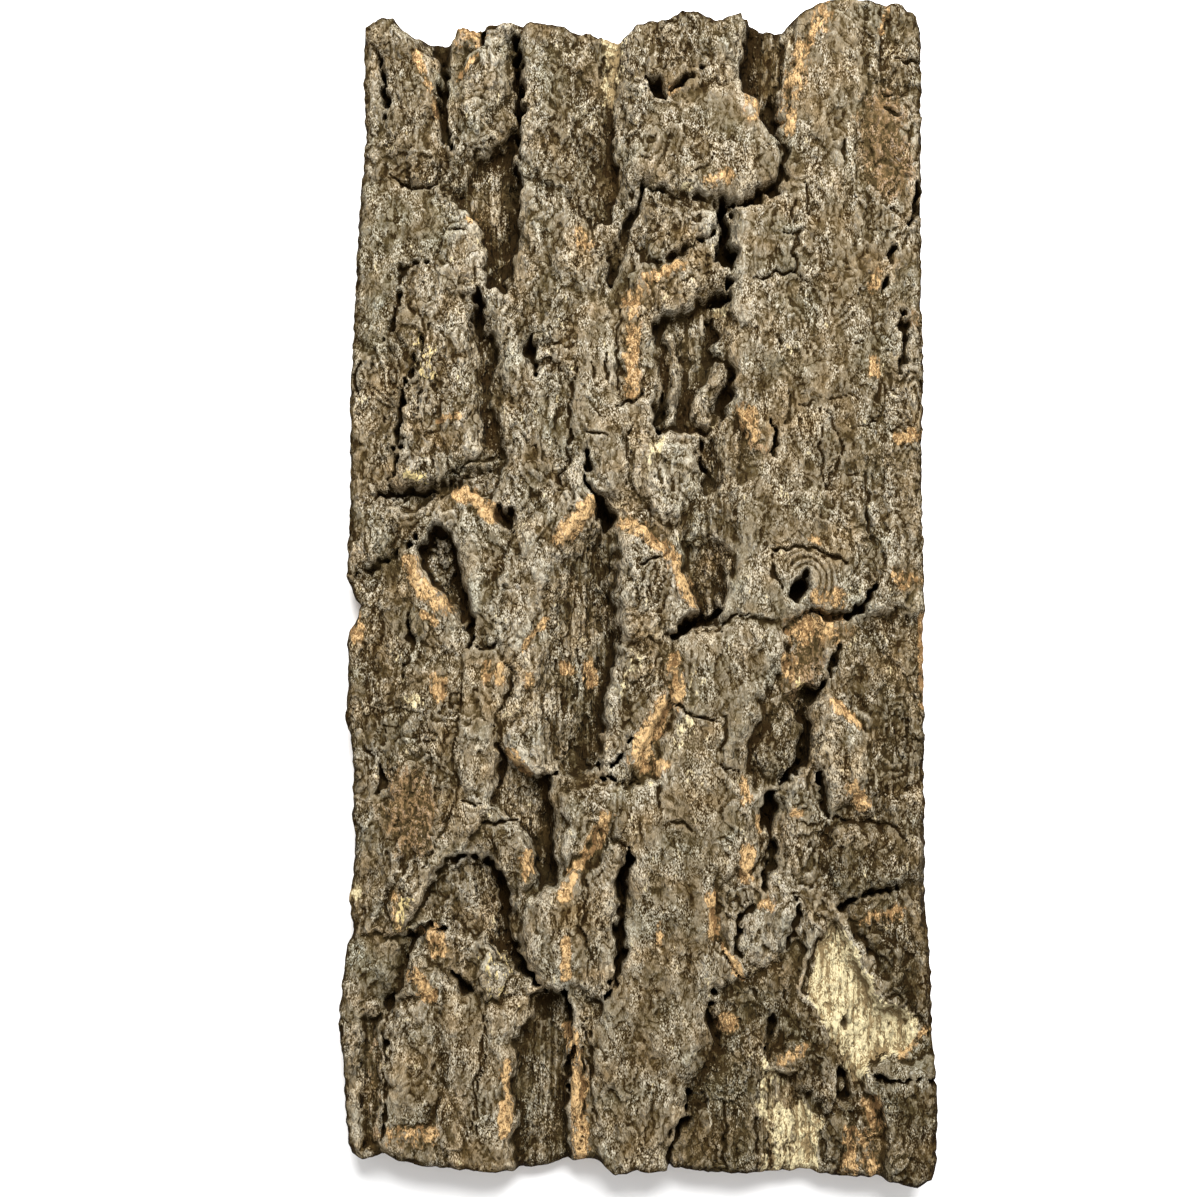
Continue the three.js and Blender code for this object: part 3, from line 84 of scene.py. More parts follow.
# Plates and hollows, each laid over the ones before it: kind of surface, level in the middle, change of
# level at the outline, how far inward that fades, width of the step, slope across and along, outline.
plates = [
    plate("left margin", "bark", 25, -2, 6.8, 7, (0.1, 0), outline=[
        [-158, 312], [-138, 312], [-135, 255], [-132, 205], [-131, 120], [-134, 60], [-127, 12],
        [-123, -60], [-130, -110], [-127, -180], [-130, -312], [-158, -312]]),
    plate("upper left band", "dusky", 28, -2, 7.5, 8, (0, 0), outline=[
        [-132, 215], [-100, 205], [-84, 184], [-78, 150], [-76, 110], [-70, 66], [-72, 30], [-84, -36],
        [-96, -60], [-122, -60], [-128, 12], [-131, 120]]),
    plate("inner left band", "bark", 27.5, -1.3, 7.5, 8, (0.06, 0), outline=[
        [-62, 200], [-40, 207], [-14, 160], [-14, 120], [-4, 80], [-8, 40], [-24, 40], [-48, 34],
        [-72, 24], [-74, 60], [-68, 110], [-64, 160]]),
    plate("lower left band", "bark", 28, -1.3, 6.8, 6, (0, 0), outline=[
        [-124, -40], [-92, -42], [-70, -44], [-70, -84], [-78, -116], [-92, -146], [-118, -165],
        [-124, -182], [-104, -200], [-84, -218], [-66, -212], [-58, -214], [-66, -234], [-71, -300],
        [-128, -300], [-126, -200], [-130, -110]]),
    plate("ridge below the top end", "dusky", 27, -3, 13, 3, (-0.2, 0.01), outline=[
        [-63, 312], [-40, 312], [-22, 312], [-12, 300], [-11, 262], [-14, 232], [-13, 204], [-15, 188],
        [-28, 184], [-40, 194], [-56, 198], [-65, 205], [-64, 220], [-61, 245]]),
    plate("finger plate", "dusky", 31, -3.5, 10, 3, (0, 0.02), outline=[
        [-148, 312], [-131, 312], [-127, 297], [-121, 286], [-110, 277], [-106, 266], [-105, 250],
        [-106, 240], [-104, 230], [-103, 221], [-104, 213], [-108, 208], [-116, 206], [-122, 208],
        [-127, 213], [-131, 230], [-132, 245], [-134, 262], [-136, 277], [-148, 286]]),
    plate("dark notch in the top end", "dark", 15, 2.6, 4.5, 4, (0, 0.1), outline=[
        [-126, 312], [-125, 296], [-116, 287], [-108, 279], [-103, 271], [-99, 277], [-99, 284],
        [-100, 312]]),
    plate("shoulder plate", "bark", 30, -3.5, 10, 3, (0.06, 0.02), outline=[
        [-98, 262], [-93, 275], [-87, 281], [-82, 284], [-81, 312], [-62, 312], [-65, 287], [-71, 279],
        [-71, 268], [-69, 262], [-72, 255], [-76, 248], [-79, 240], [-76, 233], [-84, 226], [-93, 215],
        [-99, 205], [-102, 199], [-103, 222], [-103, 245], [-101, 255]]),
    plate("sawn cube", "warm", 26, -1, 4, 2.5, (0, 0), outline=[
        [-98, 282], [-99, 294], [-98, 312], [-85, 312], [-85, 282]]),
    plate("slope under the shoulder", "fibrous", 16, 2, 6.8, 5, (-0.28, 0.02), outline=[
        [-64, 238], [-72, 232], [-84, 223], [-98, 204], [-101, 196], [-93, 192], [-85, 184], [-82, 170],
        [-80, 152], [-70, 150], [-66, 168], [-63, 190], [-63, 222]]),
    plate("grey left plate", "grey", 28.5, -3, 10, 4, (0.02, 0), outline=[
        [-146, 206], [-130, 211], [-112, 204], [-103, 197], [-102, 180], [-107, 172], [-112, 166],
        [-122, 164], [-128, 157], [-129, 142], [-133, 128], [-138, 121], [-147, 118], [-149, 165]]),
    plate("pale scale", "pale", 28, -3.5, 8, 3, (0.03, 0.02), outline=[
        [-99, 196], [-91, 192], [-85, 184], [-83, 170], [-86, 154], [-96, 151], [-103, 136], [-112, 130],
        [-121, 140], [-125, 156], [-117, 163], [-108, 165], [-104, 178]]),
    plate("blocky plate", "coarse", 29, -3, 10, 3, (-0.05, -0.03), outline=[
        [-127, 84], [-122, 104], [-117, 120], [-112, 130], [-101, 143], [-91, 148], [-88, 132],
        [-86, 122], [-88, 98], [-86, 78], [-80, 66], [-84, 60], [-98, 54], [-104, 49], [-125, 49],
        [-127, 62]]),
    plate("valley beside the block", "fibrousHollow", 17, 3.2, 7.5, 5, (-0.25, 0), outline=[
        [-88, 132], [-82, 128], [-76, 126], [-74, 108], [-75, 90], [-70, 78], [-68, 62], [-78, 60],
        [-86, 60], [-84, 78], [-86, 98]]),
    plate("shade under the block", "hollow", 20, 0.7, 6, 5, (0, -0.1), outline=[
        [-132, 47], [-104, 48], [-97, 53], [-80, 58], [-70, 60], [-70, 48], [-76, 38], [-84, 40],
        [-92, 47], [-100, 44], [-110, 38], [-120, 32], [-134, 38]]),
    plate("diagonal scale", "bark", 28, -3.5, 10, 5, (0.02, -0.03), outline=[
        [-63, 222], [-50, 206], [-38, 202], [-28, 188], [-20, 174], [-16, 158], [-20, 146], [-34, 148],
        [-48, 156], [-58, 168], [-64, 186]]),
    plate("inner rough plate", "bark", 27, -3, 8, 5, (0.02, 0), outline=[
        [-70, 130], [-62, 128], [-56, 112], [-46, 116], [-38, 104], [-38, 80], [-36, 62], [-46, 46],
        [-66, 28], [-70, 60], [-75, 82], [-74, 108]]),
    plate("centre column", "smooth", 31, -3.5, 10, 4, (0, 0), outline=[
        [-30, 150], [-18, 148], [-12, 128], [-12, 96], [-4, 84], [-7, 70], [-4, 56], [-9, 42], [-17, 41],
        [-23, 50], [-28, 62], [-37, 76], [-37, 98], [-34, 124]]),
    plate("upper centre plate", "dusky", 31, -3.5, 13, 5, (0, 0.01), outline=[
        [-9, 284], [-2, 296], [10, 312], [62, 312], [60, 298], [55, 284], [53, 269], [57, 259],
        [63, 252], [67, 241], [73, 231], [75, 220], [72, 208], [66, 201], [52, 197], [40, 198],
        [30, 201], [18, 200], [6, 205], [-4, 203], [-9, 207], [-6, 240]]),
    plate("lower lobe", "smooth", 33, -3.5, 10, 6, (0.01, -0.02), outline=[
        [-6, 212], [0, 240], [12, 250], [24, 256], [40, 262], [54, 262], [62, 250], [67, 240], [72, 230],
        [74, 220], [71, 208], [65, 202], [52, 198], [40, 199], [30, 202], [18, 202], [6, 206], [-3, 206]]),
    plate("dark valley in the top end", "fibrous", 14, 2.6, 6, 3.5, (0.35, 0.05), outline=[
        [58, 312], [80, 312], [79, 284], [76, 262], [74, 244], [70, 235], [66, 241], [64, 254],
        [57, 259], [55, 271], [56, 286]]),
    plate("right plateau", "smooth", 31, -3.5, 15, 4, (0, 0.006), outline=[
        [90, 316], [130, 316], [126, 220], [116, 195], [124, 160], [136, 100], [120, 60], [116, 20],
        [118, -6], [112, -16], [100, -20], [88, -20], [78, -24], [62, -42], [46, -30], [40, -16],
        [46, 2], [50, 22], [51, 48], [54, 70], [48, 88], [50, 104], [47, 118], [49, 150], [49, 195],
        [66, 198], [74, 209], [77, 232], [80, 254], [82, 286]]),
    plate("right margin", "bark", 30, -2, 7, 14, (-0.04, 0), outline=[
        [120, 316], [158, 316], [158, -120], [110, -126], [108, -60], [110, -8], [110, 20], [114, 60],
        [126, 100], [116, 160], [108, 195], [118, 222]]),
    plate("corner scale", "dusky", 31, -3, 8, 4, (-0.03, 0.03), outline=[
        [132, 316], [156, 316], [156, 258], [140, 254], [131, 262], [130, 286]]),
    plate("tilted scale", "bark", 28, -3.5, 8, 3, (0.12, 0.08), outline=[
        [-7, 194], [8, 199], [30, 198], [38, 193], [43, 190], [41, 182], [34, 175], [26, 171], [12, 163],
        [1, 164], [-4, 176], [-9, 186]]),
    plate("orange slope", "warm", 28, -2, 8, 7, (-0.02, 0.08), outline=[
        [-10, 148], [2, 160], [14, 162], [28, 170], [36, 164], [36, 150], [20, 139], [10, 134], [6, 112],
        [2, 92], [-9, 92], [-10, 120]]),
    plate("ribbed recess", "fibrous", 15, 2, 4.5, 4, (0, 0.03), outline=[
        [8, 134], [20, 138], [34, 146], [47, 148], [43, 130], [41, 116], [49, 106], [45, 92], [40, 80],
        [32, 74], [12, 77], [7, 86], [9, 105]]),
    plate("narrow rib", "dusky", 23, -4.5, 5, 4, (0, 0.02), outline=[
        [14, 76], [21, 79], [22, 98], [20, 114], [21, 126], [16, 133], [12, 124], [14, 104], [13, 88]]),
    plate("slanting rib", "bark", 25, -5.5, 6, 4, (0.06, 0.03), outline=[
        [28, 76], [38, 77], [42, 88], [47, 101], [47, 112], [40, 114], [33, 104], [27, 90]]),
    plate("flat centre scale", "pale", 28, -3.5, 8, 4, (-0.06, 0.04), outline=[
        [-3, 70], [14, 71], [29, 71], [31, 60], [31, 46], [26, 30], [18, 22], [8, 28], [-2, 38], [-5, 52]]),
    plate("recess beside the scale", "fibrous", 20, 2, 3.8, 8, (0.25, 0.05), outline=[
        [31, 72], [40, 75], [44, 66], [42, 46], [36, 40], [31, 44]]),
    plate("grained chute", "fibrous", 20, 2.6, 6.8, 8, (0.08, 0.12), outline=[
        [22, 44], [31, 42], [42, 46], [48, 70], [51, 60], [50, 40], [48, 20], [46, 4], [43, -10],
        [39, -25], [32, -24], [28, -10], [23, 4], [18, 18]]),
    plate("chute pocket", "fibrousHollow", 13, 3.2, 6.8, 7, (0, 0.15), outline=[
        [20, 18], [34, 24], [45, 16], [46, 2], [43, -12], [39, -24], [31, -24], [27, -10], [23, 4]]),
    plate("centre scale", "warm", 31, -3.5, 10, 2.5, (0.03, -0.01), outline=[
        [-13, 22], [-6, 28], [2, 24], [12, 14], [20, 4], [27, -8], [30, -18], [22, -25], [16, -31],
        [15, -40], [2, -38], [-12, -36], [-15, -10]]),
    plate("keel hollow", "fibrousHollow", 17.5, 4, 11, 12, (-0.36, 0.02), outline=[
        [-20, 30], [-31, 20], [-39, 9], [-45, -8], [-51, -25], [-55, -45], [-59, -65], [-58, -85],
        [-52, -98], [-40, -103], [-27, -99], [-20, -92], [-16, -75], [-13, -50], [-14, -10], [-16, 20]]),
    plate("keel rim", "pale", 29, -3, 8, 6, (0, 0.01), outline=[
        [-28, 58], [-38, 47], [-50, 34], [-64, 24], [-71, 6], [-77, -12], [-80, -36], [-74, -39],
        [-70, -50], [-68, -62], [-72, -76], [-66, -80], [-60, -72], [-56, -50], [-52, -28], [-46, -8],
        [-40, 10], [-31, 21], [-24, 32], [-23, 45]]),
    plate("stepped plate", "smooth", 28, -3.5, 10, 4, (0.02, 0.02), outline=[
        [-101, 36], [-97, 46], [-91, 46], [-80, 38], [-73, 31], [-66, 28], [-71, 14], [-76, -2],
        [-80, -18], [-84, -35], [-88, -30], [-92, -10], [-91, 6], [-96, 16], [-102, 26]]),
    plate("pocket beside the step", "hollow", 10, 2.6, 4.5, 4, (0, 0), outline=[
        [-117, 13], [-106, 25], [-100, 21], [-94, 11], [-91, -3], [-89, -18], [-91, -24], [-97, -17],
        [-103, -12], [-108, -4], [-113, 4]]),
    plate("torn scale", "bark", 29, -3.5, 8, 3.5, (0.03, 0.04), rings=1, outline=[
        [-121, 9], [-113, 1], [-107, -8], [-102, -14], [-97, -19], [-91, -26], [-88, -34], [-90, -42],
        [-104, -44], [-118, -34], [-122, -14]]),
    plate("long smooth plate", "smooth", 30, -3, 8, 3, (0, 0), outline=[
        [-92, -41], [-86, -37], [-76, -39], [-70, -46], [-68, -58], [-72, -74], [-75, -86], [-77, -100],
        [-80, -112], [-90, -113], [-94, -104], [-93, -80]]),
    plate("inner sliver", "pale", 27, -3, 5, 4, (0, 0), outline=[
        [-72, -80], [-64, -77], [-58, -84], [-54, -95], [-56, -103], [-62, -101], [-68, -92]]),
    plate("left patched plate", "bark", 28.5, -3, 8, 6, (0.02, 0), outline=[
        [-121, -36], [-106, -46], [-95, -48], [-94, -80], [-96, -112], [-100, -132], [-110, -148],
        [-122, -146], [-130, -118], [-127, -90], [-122, -66]]),
    plate("dark grained hollow", "fibrousHollow", 15, 3.2, 6.8, 4, (-0.15, 0), outline=[
        [-71, -87], [-64, -97], [-57, -103], [-44, -103], [-42, -120], [-42, -140], [-44, -158],
        [-52, -160], [-55, -148], [-58, -136], [-64, -127], [-78, -119], [-76, -105]]),
    plate("small step plate", "bark", 29, -2, 6, 2.5, (0, 0), outline=[
        [-94, -115], [-80, -118], [-79, -126], [-84, -134], [-94, -142], [-104, -152], [-118, -166],
        [-122, -156], [-108, -146], [-98, -132]]),
    plate("arch floor", "coarse", 19, 1.3, 6.8, 5, (-0.12, 0.03), outline=[
        [-106, -154], [-98, -149], [-90, -146], [-80, -147], [-74, -155], [-69, -168], [-67, -184],
        [-66, -195], [-74, -190], [-84, -186], [-100, -180], [-112, -177], [-120, -172], [-113, -161]]),
    plate("lower middle base", "dusky", 27, -1.5, 7, 6, (0, 0), outline=[
        [-46, -104], [-5, -104], [-5, -222], [-34, -216], [-62, -205], [-62, -165], [-44, -160]]),
    plate("left lip", "dusky", 30, -3, 5, 2.5, (0, 0), outline=[
        [-128, -166], [-120, -158], [-112, -152], [-106, -152], [-110, -164], [-116, -174], [-124, -183],
        [-128, -176]]),
    plate("round knob", "dark", 29, -4.5, 8, 3, (0, 0), rings=1, outline=[
        [-76, -136], [-66, -129], [-60, -133], [-56, -140], [-54, -150], [-56, -158], [-63, -162],
        [-70, -158], [-74, -150], [-76, -143]]),
    plate("bulging plate", "smooth", 33, -4.5, 11, 3.5, (0, 0), rings=1, outline=[
        [-58, -166], [-48, -161], [-40, -154], [-31, -151], [-29, -165], [-31, -180], [-27, -195],
        [-30, -208], [-38, -210], [-46, -212], [-56, -205], [-62, -195], [-61, -180]]),
    plate("tongue plate", "bark", 31, -2, 7, 4, (0, 0), outline=[
        [-27, -152], [-20, -143], [-14, -137], [-9, -140], [-9, -153], [-14, -166], [-13, -180],
        [-12, -195], [-15, -206], [-19, -218], [-26, -214], [-31, -206], [-29, -192], [-32, -178],
        [-30, -160]]),
    plate("lower big plate", "smooth", 32, -4.5, 11, 3, (-0.01, 0.005), outline=[
        [16, -33], [26, -28], [38, -29], [52, -22], [70, -24], [78, -34], [74, -48], [66, -62],
        [58, -84], [55, -96], [60, -112], [62, -128], [60, -144], [52, -156], [40, -162], [37, -184],
        [42, -192], [50, -205], [40, -210], [33, -226], [32, -247], [22, -257], [22, -275], [14, -290],
        [10, -316], [-18, -316], [-22, -285], [-24, -250], [-26, -226], [-18, -219], [-10, -205],
        [-8, -180], [-7, -150], [-10, -135], [-22, -128], [-38, -150], [-40, -112], [-20, -107],
        [-5, -109], [8, -104], [12, -90], [16, -70], [16, -50]]),
    plate("base by the knob", "pale", 28, -1.5, 7, 6, (0, 0), outline=[
        [38, -154], [66, -150], [80, -165], [84, -190], [60, -206], [40, -212], [36, -185]]),
    plate("low grey scale", "dusky", 30, -1.5, 8, 6, (0.06, 0), outline=[
        [-10, -38], [14, -36], [18, -48], [16, -64], [8, -80], [0, -94], [-5, -106], [-18, -106],
        [-21, -90], [-18, -66], [-15, -50]]),
    plate("shaded lump", "dark", 25, -4.5, 10, 4, (-0.12, 0), rings=1, outline=[
        [72, -66], [80, -64], [86, -68], [85, -80], [83, -92], [79, -99], [73, -104], [66, -109],
        [60, -107], [56, -99], [56, -91], [62, -80]]),
    plate("dark nook", "hollow", 11, 2.6, 4.5, 4, (0, 0), outline=[
        [76, -66], [84, -58], [93, -57], [95, -60], [88, -67], [85, -78], [80, -74]]),
    plate("right lens", "bark", 31, -4.5, 10, 3.5, (0, 0.02), rings=1, outline=[
        [94, -58], [104, -66], [112, -74], [118, -82], [119, -98], [116, -112], [108, -120], [98, -123],
        [92, -116], [89, -102], [86, -95], [88, -80], [91, -66]]),
    plate("right rough field", "dusky", 25, -2, 10, 8, (-0.03, 0), outline=[
        [104, -24], [122, -22], [158, -24], [158, -170], [104, -170], [96, -128], [118, -120],
        [122, -95], [116, -74], [100, -56]]),
    plate("strip beside the fissure", "bark", 27, -3.5, 7, 3, (0, 0), outline=[
        [80, -101], [88, -105], [93, -118], [94, -132], [92, -146], [88, -162], [78, -158], [71, -146],
        [70, -132], [73, -116], [76, -106]]),
    plate("lower right plate", "dark", 30, -3.5, 8, 4, (-0.02, 0.01), outline=[
        [97, -129], [112, -127], [130, -130], [144, -136], [146, -158], [126, -161], [108, -167],
        [98, -162], [94, -146]]),
    plate("granular knob", "pale", 31, -4.5, 10, 3.5, (0, 0), outline=[
        [56, -166], [66, -160], [76, -163], [80, -175], [78, -186], [71, -193], [62, -200], [53, -201],
        [49, -188], [50, -176]]),
    plate("low dark plates", "dark", 25, -2, 8, 4, (0, 0), outline=[
        [50, -205], [62, -201], [72, -193], [80, -186], [84, -192], [78, -212], [88, -222], [98, -238],
        [104, -254], [101, -266], [96, -244], [90, -241], [80, -237], [66, -240], [60, -255], [58, -275],
        [60, -316], [18, -316], [24, -274], [24, -259], [34, -246], [36, -228], [42, -212]]),
    plate("pale hollow", "cream", 19, 3.2, 7.5, 3.5, (-0.03, 0.02), outline=[
        [97, -177], [101, -181], [109, -196], [114, -207], [117, -218], [130, -221], [137, -227],
        [134, -240], [121, -246], [113, -250], [109, -260], [105, -256], [99, -240], [91, -225],
        [80, -211], [85, -200], [87, -190], [92, -184]]),
    plate("flaked plate", "dark", 28, -3.5, 8, 5, (0.03, 0), outline=[
        [104, -170], [118, -167], [130, -175], [152, -176], [152, -236], [141, -228], [130, -217],
        [121, -206], [113, -192], [106, -180]]),
    plate("bottom corner block", "dark", 34, -3.5, 7, 3, (0.02, -0.01), outline=[
        [112, -252], [122, -246], [134, -247], [158, -240], [158, -316], [124, -316], [118, -286],
        [112, -270]]),
    plate("orange flank", "warm", 24, -2, 6, 4, (0.2, 0), outline=[
        [110, -262], [118, -262], [122, -285], [122, -316], [96, -316], [100, -288], [104, -272]]),
    plate("curled knob", "dark", 29, -4.5, 8, 3, (0.03, 0.03), rings=1, outline=[
        [66, -243], [72, -238], [82, -237], [92, -241], [99, -249], [102, -259], [101, -271], [92, -273],
        [84, -265], [77, -254], [69, -250]]),
    plate("pale chute", "cream", 19, 2.6, 6, 4, (0, 0), outline=[
        [60, -250], [69, -249], [77, -255], [81, -265], [89, -273], [88, -316], [60, -316], [58, -280]]),
    plate("small grey block", "dark", 25, -3, 5, 3, (0, 0), outline=[
        [98, -266], [104, -262], [110, -270], [106, -284], [100, -296], [92, -300], [88, -284],
        [91, -274]]),
    plate("lower left channel", "fibrous", 14.5, 3.2, 6, 3, (-0.02, 0), outline=[
        [-57, -213], [-48, -212], [-40, -212], [-37, -226], [-36, -250], [-36, -316], [-63, -316],
        [-65, -280], [-65, -252], [-66, -238], [-58, -229]]),
    plate("split plate", "smooth", 28, -3, 8, 4, (-0.03, 0), outline=[
        [-100, -212], [-90, -212], [-81, -220], [-72, -216], [-58, -212], [-60, -228], [-67, -238],
        [-67, -316], [-100, -316], [-98, -255]]),
    plate("rough bottom column", "smooth", 28, -3.5, 8, 4, (0, 0), outline=[
        [-128, -220], [-118, -214], [-104, -214], [-100, -230], [-98, -258], [-104, -280], [-128, -281]]),
    plate("left lower trough", "fibrousHollow", 17, 2.6, 3.8, 4, (0, 0), outline=[
        [-143, -226], [-134, -222], [-130, -240], [-130, -270], [-132, -293], [-142, -290], [-144, -260]]),
    plate("flaky left lobe", "grey", 26, -3.5, 10, 4, (0.02, -0.02), outline=[
        [-158, -184], [-146, -184], [-134, -181], [-120, -184], [-117, -195], [-122, -211], [-131, -219],
        [-137, -216], [-142, -226], [-158, -234]]),
    plate("gritty knob", "pale", 28, -4.5, 6, 2.5, (0, 0), outline=[
        [-83, -194], [-76, -190], [-67, -199], [-63, -205], [-70, -217], [-78, -220], [-84, -211]]),
]
# Gaps between plates: level of the floor, full width, path.
fissures = [
    (5, 4.5, [[-63.5, 286], [-65.5, 275], [-65, 262], [-63, 250], [-62, 240], [-63, 230]]),
    (9, 3.8, [[-103, 277], [-103, 262], [-104, 246], [-102, 234], [-101, 226]]),
    (13, 3, [[-136, 277], [-135, 262], [-133, 244]]),
    (11, 4.2, [[2, 203], [-4, 193], [-9, 180], [-13, 167], [-15, 152]]),
    (18, 3.8, [[4, 264], [10, 259], [14, 252]]),
    (5, 5.6, [[69, 258], [70, 248], [71, 236]]),
    (20, 2.8, [[73, 236], [76, 224], [74, 211], [70, 203], [60, 199], [50, 196], [43, 194]]),
    (3, 5.3, [[46, 199], [46, 184], [46, 166], [46.5, 145]]),
    (20, 2.4, [[44, 186], [36, 179], [24, 172], [8, 165]]),
    (22, 2.2, [[-6, 200], [2, 203], [10, 203], [20, 200], [31, 200], [38, 197], [45, 194]]),
    (8, 3.4, [[10.5, 99], [10.5, 88], [10, 77]]),
    (11, 3.6, [[25, 120], [25, 108], [25, 98]]),
    (7, 4.1, [[39, 144], [39, 132], [38.5, 122]]),
    (8, 4.4, [[48, 104], [45, 94], [42, 82]]),
    (4, 5.6, [[-24, 43], [-19, 38], [-18, 31], [-20, 25]]),
    (6, 4.4, [[41, -18], [35, -22], [27, -24], [21, -28], [16, -32]]),
    (17, 2.2, [[-113, 131], [-117, 120], [-120, 108], [-124, 95], [-126, 84], [-127, 76], [-127, 64],
        [-128, 54], [-132, 47]]),
    (7, 4.4, [[-86, 151], [-85, 143], [-85, 135], [-84, 126]]),
    (20, 2.6, [[-112, 166], [-118, 165], [-124, 163], [-127, 156], [-126, 148], [-128, 140], [-132, 130],
        [-137, 122]]),
    (18, 2.2, [[-150, 1], [-140, 5], [-130, 9], [-120, 15], [-116, 21]]),
    (4, 5.6, [[-96, 6], [-94, -6], [-93, -16]]),
    (12, 3.4, [[-93, -15], [-89, -24], [-87, -32], [-88, -38]]),
    (12, 4.1, [[-74, 35], [-69, 30], [-66, 23]]),
    (15, 3.8, [[-57, 126], [-56, 120], [-54, 112], [-55, 106]]),
    (9, 3.6, [[-80, -146], [-74, -153], [-70, -164], [-68, -180], [-64, -194], [-57, -203], [-48, -211]]),
    (14, 2.8, [[-122, -184], [-116, -185], [-110, -180], [-98, -181]]),
    (8, 3.9, [[-7, -140], [-7, -148], [-11, -156], [-12, -168], [-10, -180], [-9, -192], [-13, -205],
        [-18, -217]]),
    (16, 2.4, [[-50, -104], [-40, -103], [-30, -98], [-22, -98], [-19, -104], [-8, -107], [3, -107]]),
    (6, 3.6, [[95, -56], [90, -62], [86, -70], [86, -80], [85, -90], [82, -97], [76, -103]]),
    (15, 3, [[103, -35], [100, -46], [95, -56]]),
    (13, 3, [[91, -102], [93, -110], [94, -119], [96, -126]]),
    (10, 3.9, [[122, -3], [119, -10], [115, -17], [107, -20]]),
    (22, 2, [[57, -166], [51, -176], [49, -188], [51, -199]]),
    (17, 2.2, [[78, -164], [80, -174], [78, -184], [71, -193]]),
    (15, 1.6, [[104, -222], [105, -236], [104, -247], [104, -258]]),
    (9, 3, [[101, -250], [103, -258], [102, -269]]),
    (15, 3, [[38, -212], [36, -222], [35, -231], [38, -240]]),
    (13, 3, [[23, -262], [22, -276], [15, -288], [12, -312]]),
    (16, 3, [[64, -223], [66, -232], [62, -240]]),
    (17, 3, [[-130, -224], [-129, -250], [-129, -292]]),
    (10, 4.4, [[-94, -204], [-89, -209], [-85, -213]]),
    (16, 3.2, [[-117, -187], [-118, -198], [-123, -210], [-130, -219]]),
    (11, 2.6, [[-39, -212], [-37, -226], [-35, -242], [-36, -260]]),
    (24, 1.6, [[116, -250], [124, -256], [134, -254], [150, -257]]),
    (12, 3.8, [[146, 208], [144, 196], [141, 184]]),
    (18, 2.2, [[134, 172], [129, 158], [126, 148]]),
    (19, 2, [[138, 142], [137, 128], [137, 114], [136, 104]]),
    (8, 4.5, [[-64, 216], [-64, 206], [-67, 196]]),
    (12, 2.5, [[-83, 296], [-83, 282]]),
    (17, 4.1, [[17, 257], [24, 265], [30, 269], [37, 270]]),
    (10, 4.5, [[47, 150], [41, 145], [36, 143]]),
    (14, 2.8, [[-27, 62], [-27, 55], [-28, 48], [-24, 43]]),
    (11, 3.8, [[33, 72], [33, 60], [34, 46]]),
    (20, 2.2, [[109, -20], [101, -21], [96, -23], [91, -19]]),
    (17, 2.6, [[68, 80], [70, 72], [68, 63]]),
    (20, 2, [[-121, -20], [-120, -32], [-121, -45], [-122, -60]]),
    (16, 2.4, [[-133, -98], [-132, -104], [-133, -110]]),
    (14, 2.6, [[-104, -154], [-97, -148], [-90, -146], [-81, -146]]),
    (12, 3, [[-55, -136], [-52, -148], [-53, -159]]),
    (12, 3, [[-13, -99], [-9, -92], [-5, -84]]),
    (3, 5, [[77, -101], [72, -107], [67, -114], [66, -122], [67, -134]]),
    (12, 4.2, [[67, -132], [66, -145], [64, -158]]),
    (20, 2, [[102, -170], [106, -166], [116, -164], [130, -161]]),
]
# Soft valleys: depth, half width, painted shade along the valley (how much darker it is), path.
valleys = [
    (3, 9, -0.5, [[-67, 285], [-68, 262], [-66, 240], [-70, 222], [-70, 200], [-68, 175]]),
    (3, 12, -0.5, [[-70, 232], [-84, 220], [-97, 205]]),
    (4, 13, -0.15, [[-22, 222], [-12, 195], [-12, 165], [-14, 150]]),
    (4, 13, -0.27, [[-82, 128], [-78, 105], [-76, 85], [-71, 65]]),
    (3, 9, -0.24, [[-135, 44], [-118, 42], [-104, 44], [-92, 52], [-75, 58]]),
    (4, 16, -0.6, [[-152, -6], [-138, 0], [-126, 8], [-118, 20]]),
    (3, 13, -0.12, [[-18, 30], [-18, 0], [-20, -30], [-22, -60], [-28, -85], [-35, -95]]),
    (4, 11, -0.21, [[-50, -112], [-48, -130], [-47, -150]]),
    (4, 13, -0.27, [[-80, -150], [-72, -165], [-68, -185], [-60, -202]]),
    (3, 12, -0.45, [[44, 148], [42, 118], [44, 100], [40, 80], [36, 60], [34, 45]]),
    (3, 9, -0.18, [[-116, -188], [-122, -205], [-134, -222]]),
    (3, 12, -0.27, [[96, -58], [88, -68], [86, -85]]),
    (2, 9, -0.15, [[72, -108], [67, -122], [66, -145]]),
    (2, 8, -0.15, [[-9, -145], [-11, -170], [-10, -195]]),
    (3, 9, -0.3, [[98, -240], [104, -256], [102, -268]]),
    (3, 11, -0.24, [[37, -215], [38, -235], [30, -255], [22, -275], [14, -292]]),
    (3, 12, -0.27, [[62, -225], [66, -238]]),
    (2, 10, -0.24, [[-112, 284], [-103, 270]]),
    (3, 9, -0.3, [[62, 292], [62, 275], [60, 262]]),
    (2, 9, -0.18, [[46, 190], [45, 160], [42, 145]]),
    (3, 12, -0.3, [[-98, 5], [-94, -12], [-89, -28]]),
    (1, 12, -0.4, [[-35, -60], [-38, -85], [-35, -105]]),
    (1, 8, -0.4, [[50, 78], [50, 52]]),
    (2, 9, -0.4, [[148, -95], [148, -205]]),
]
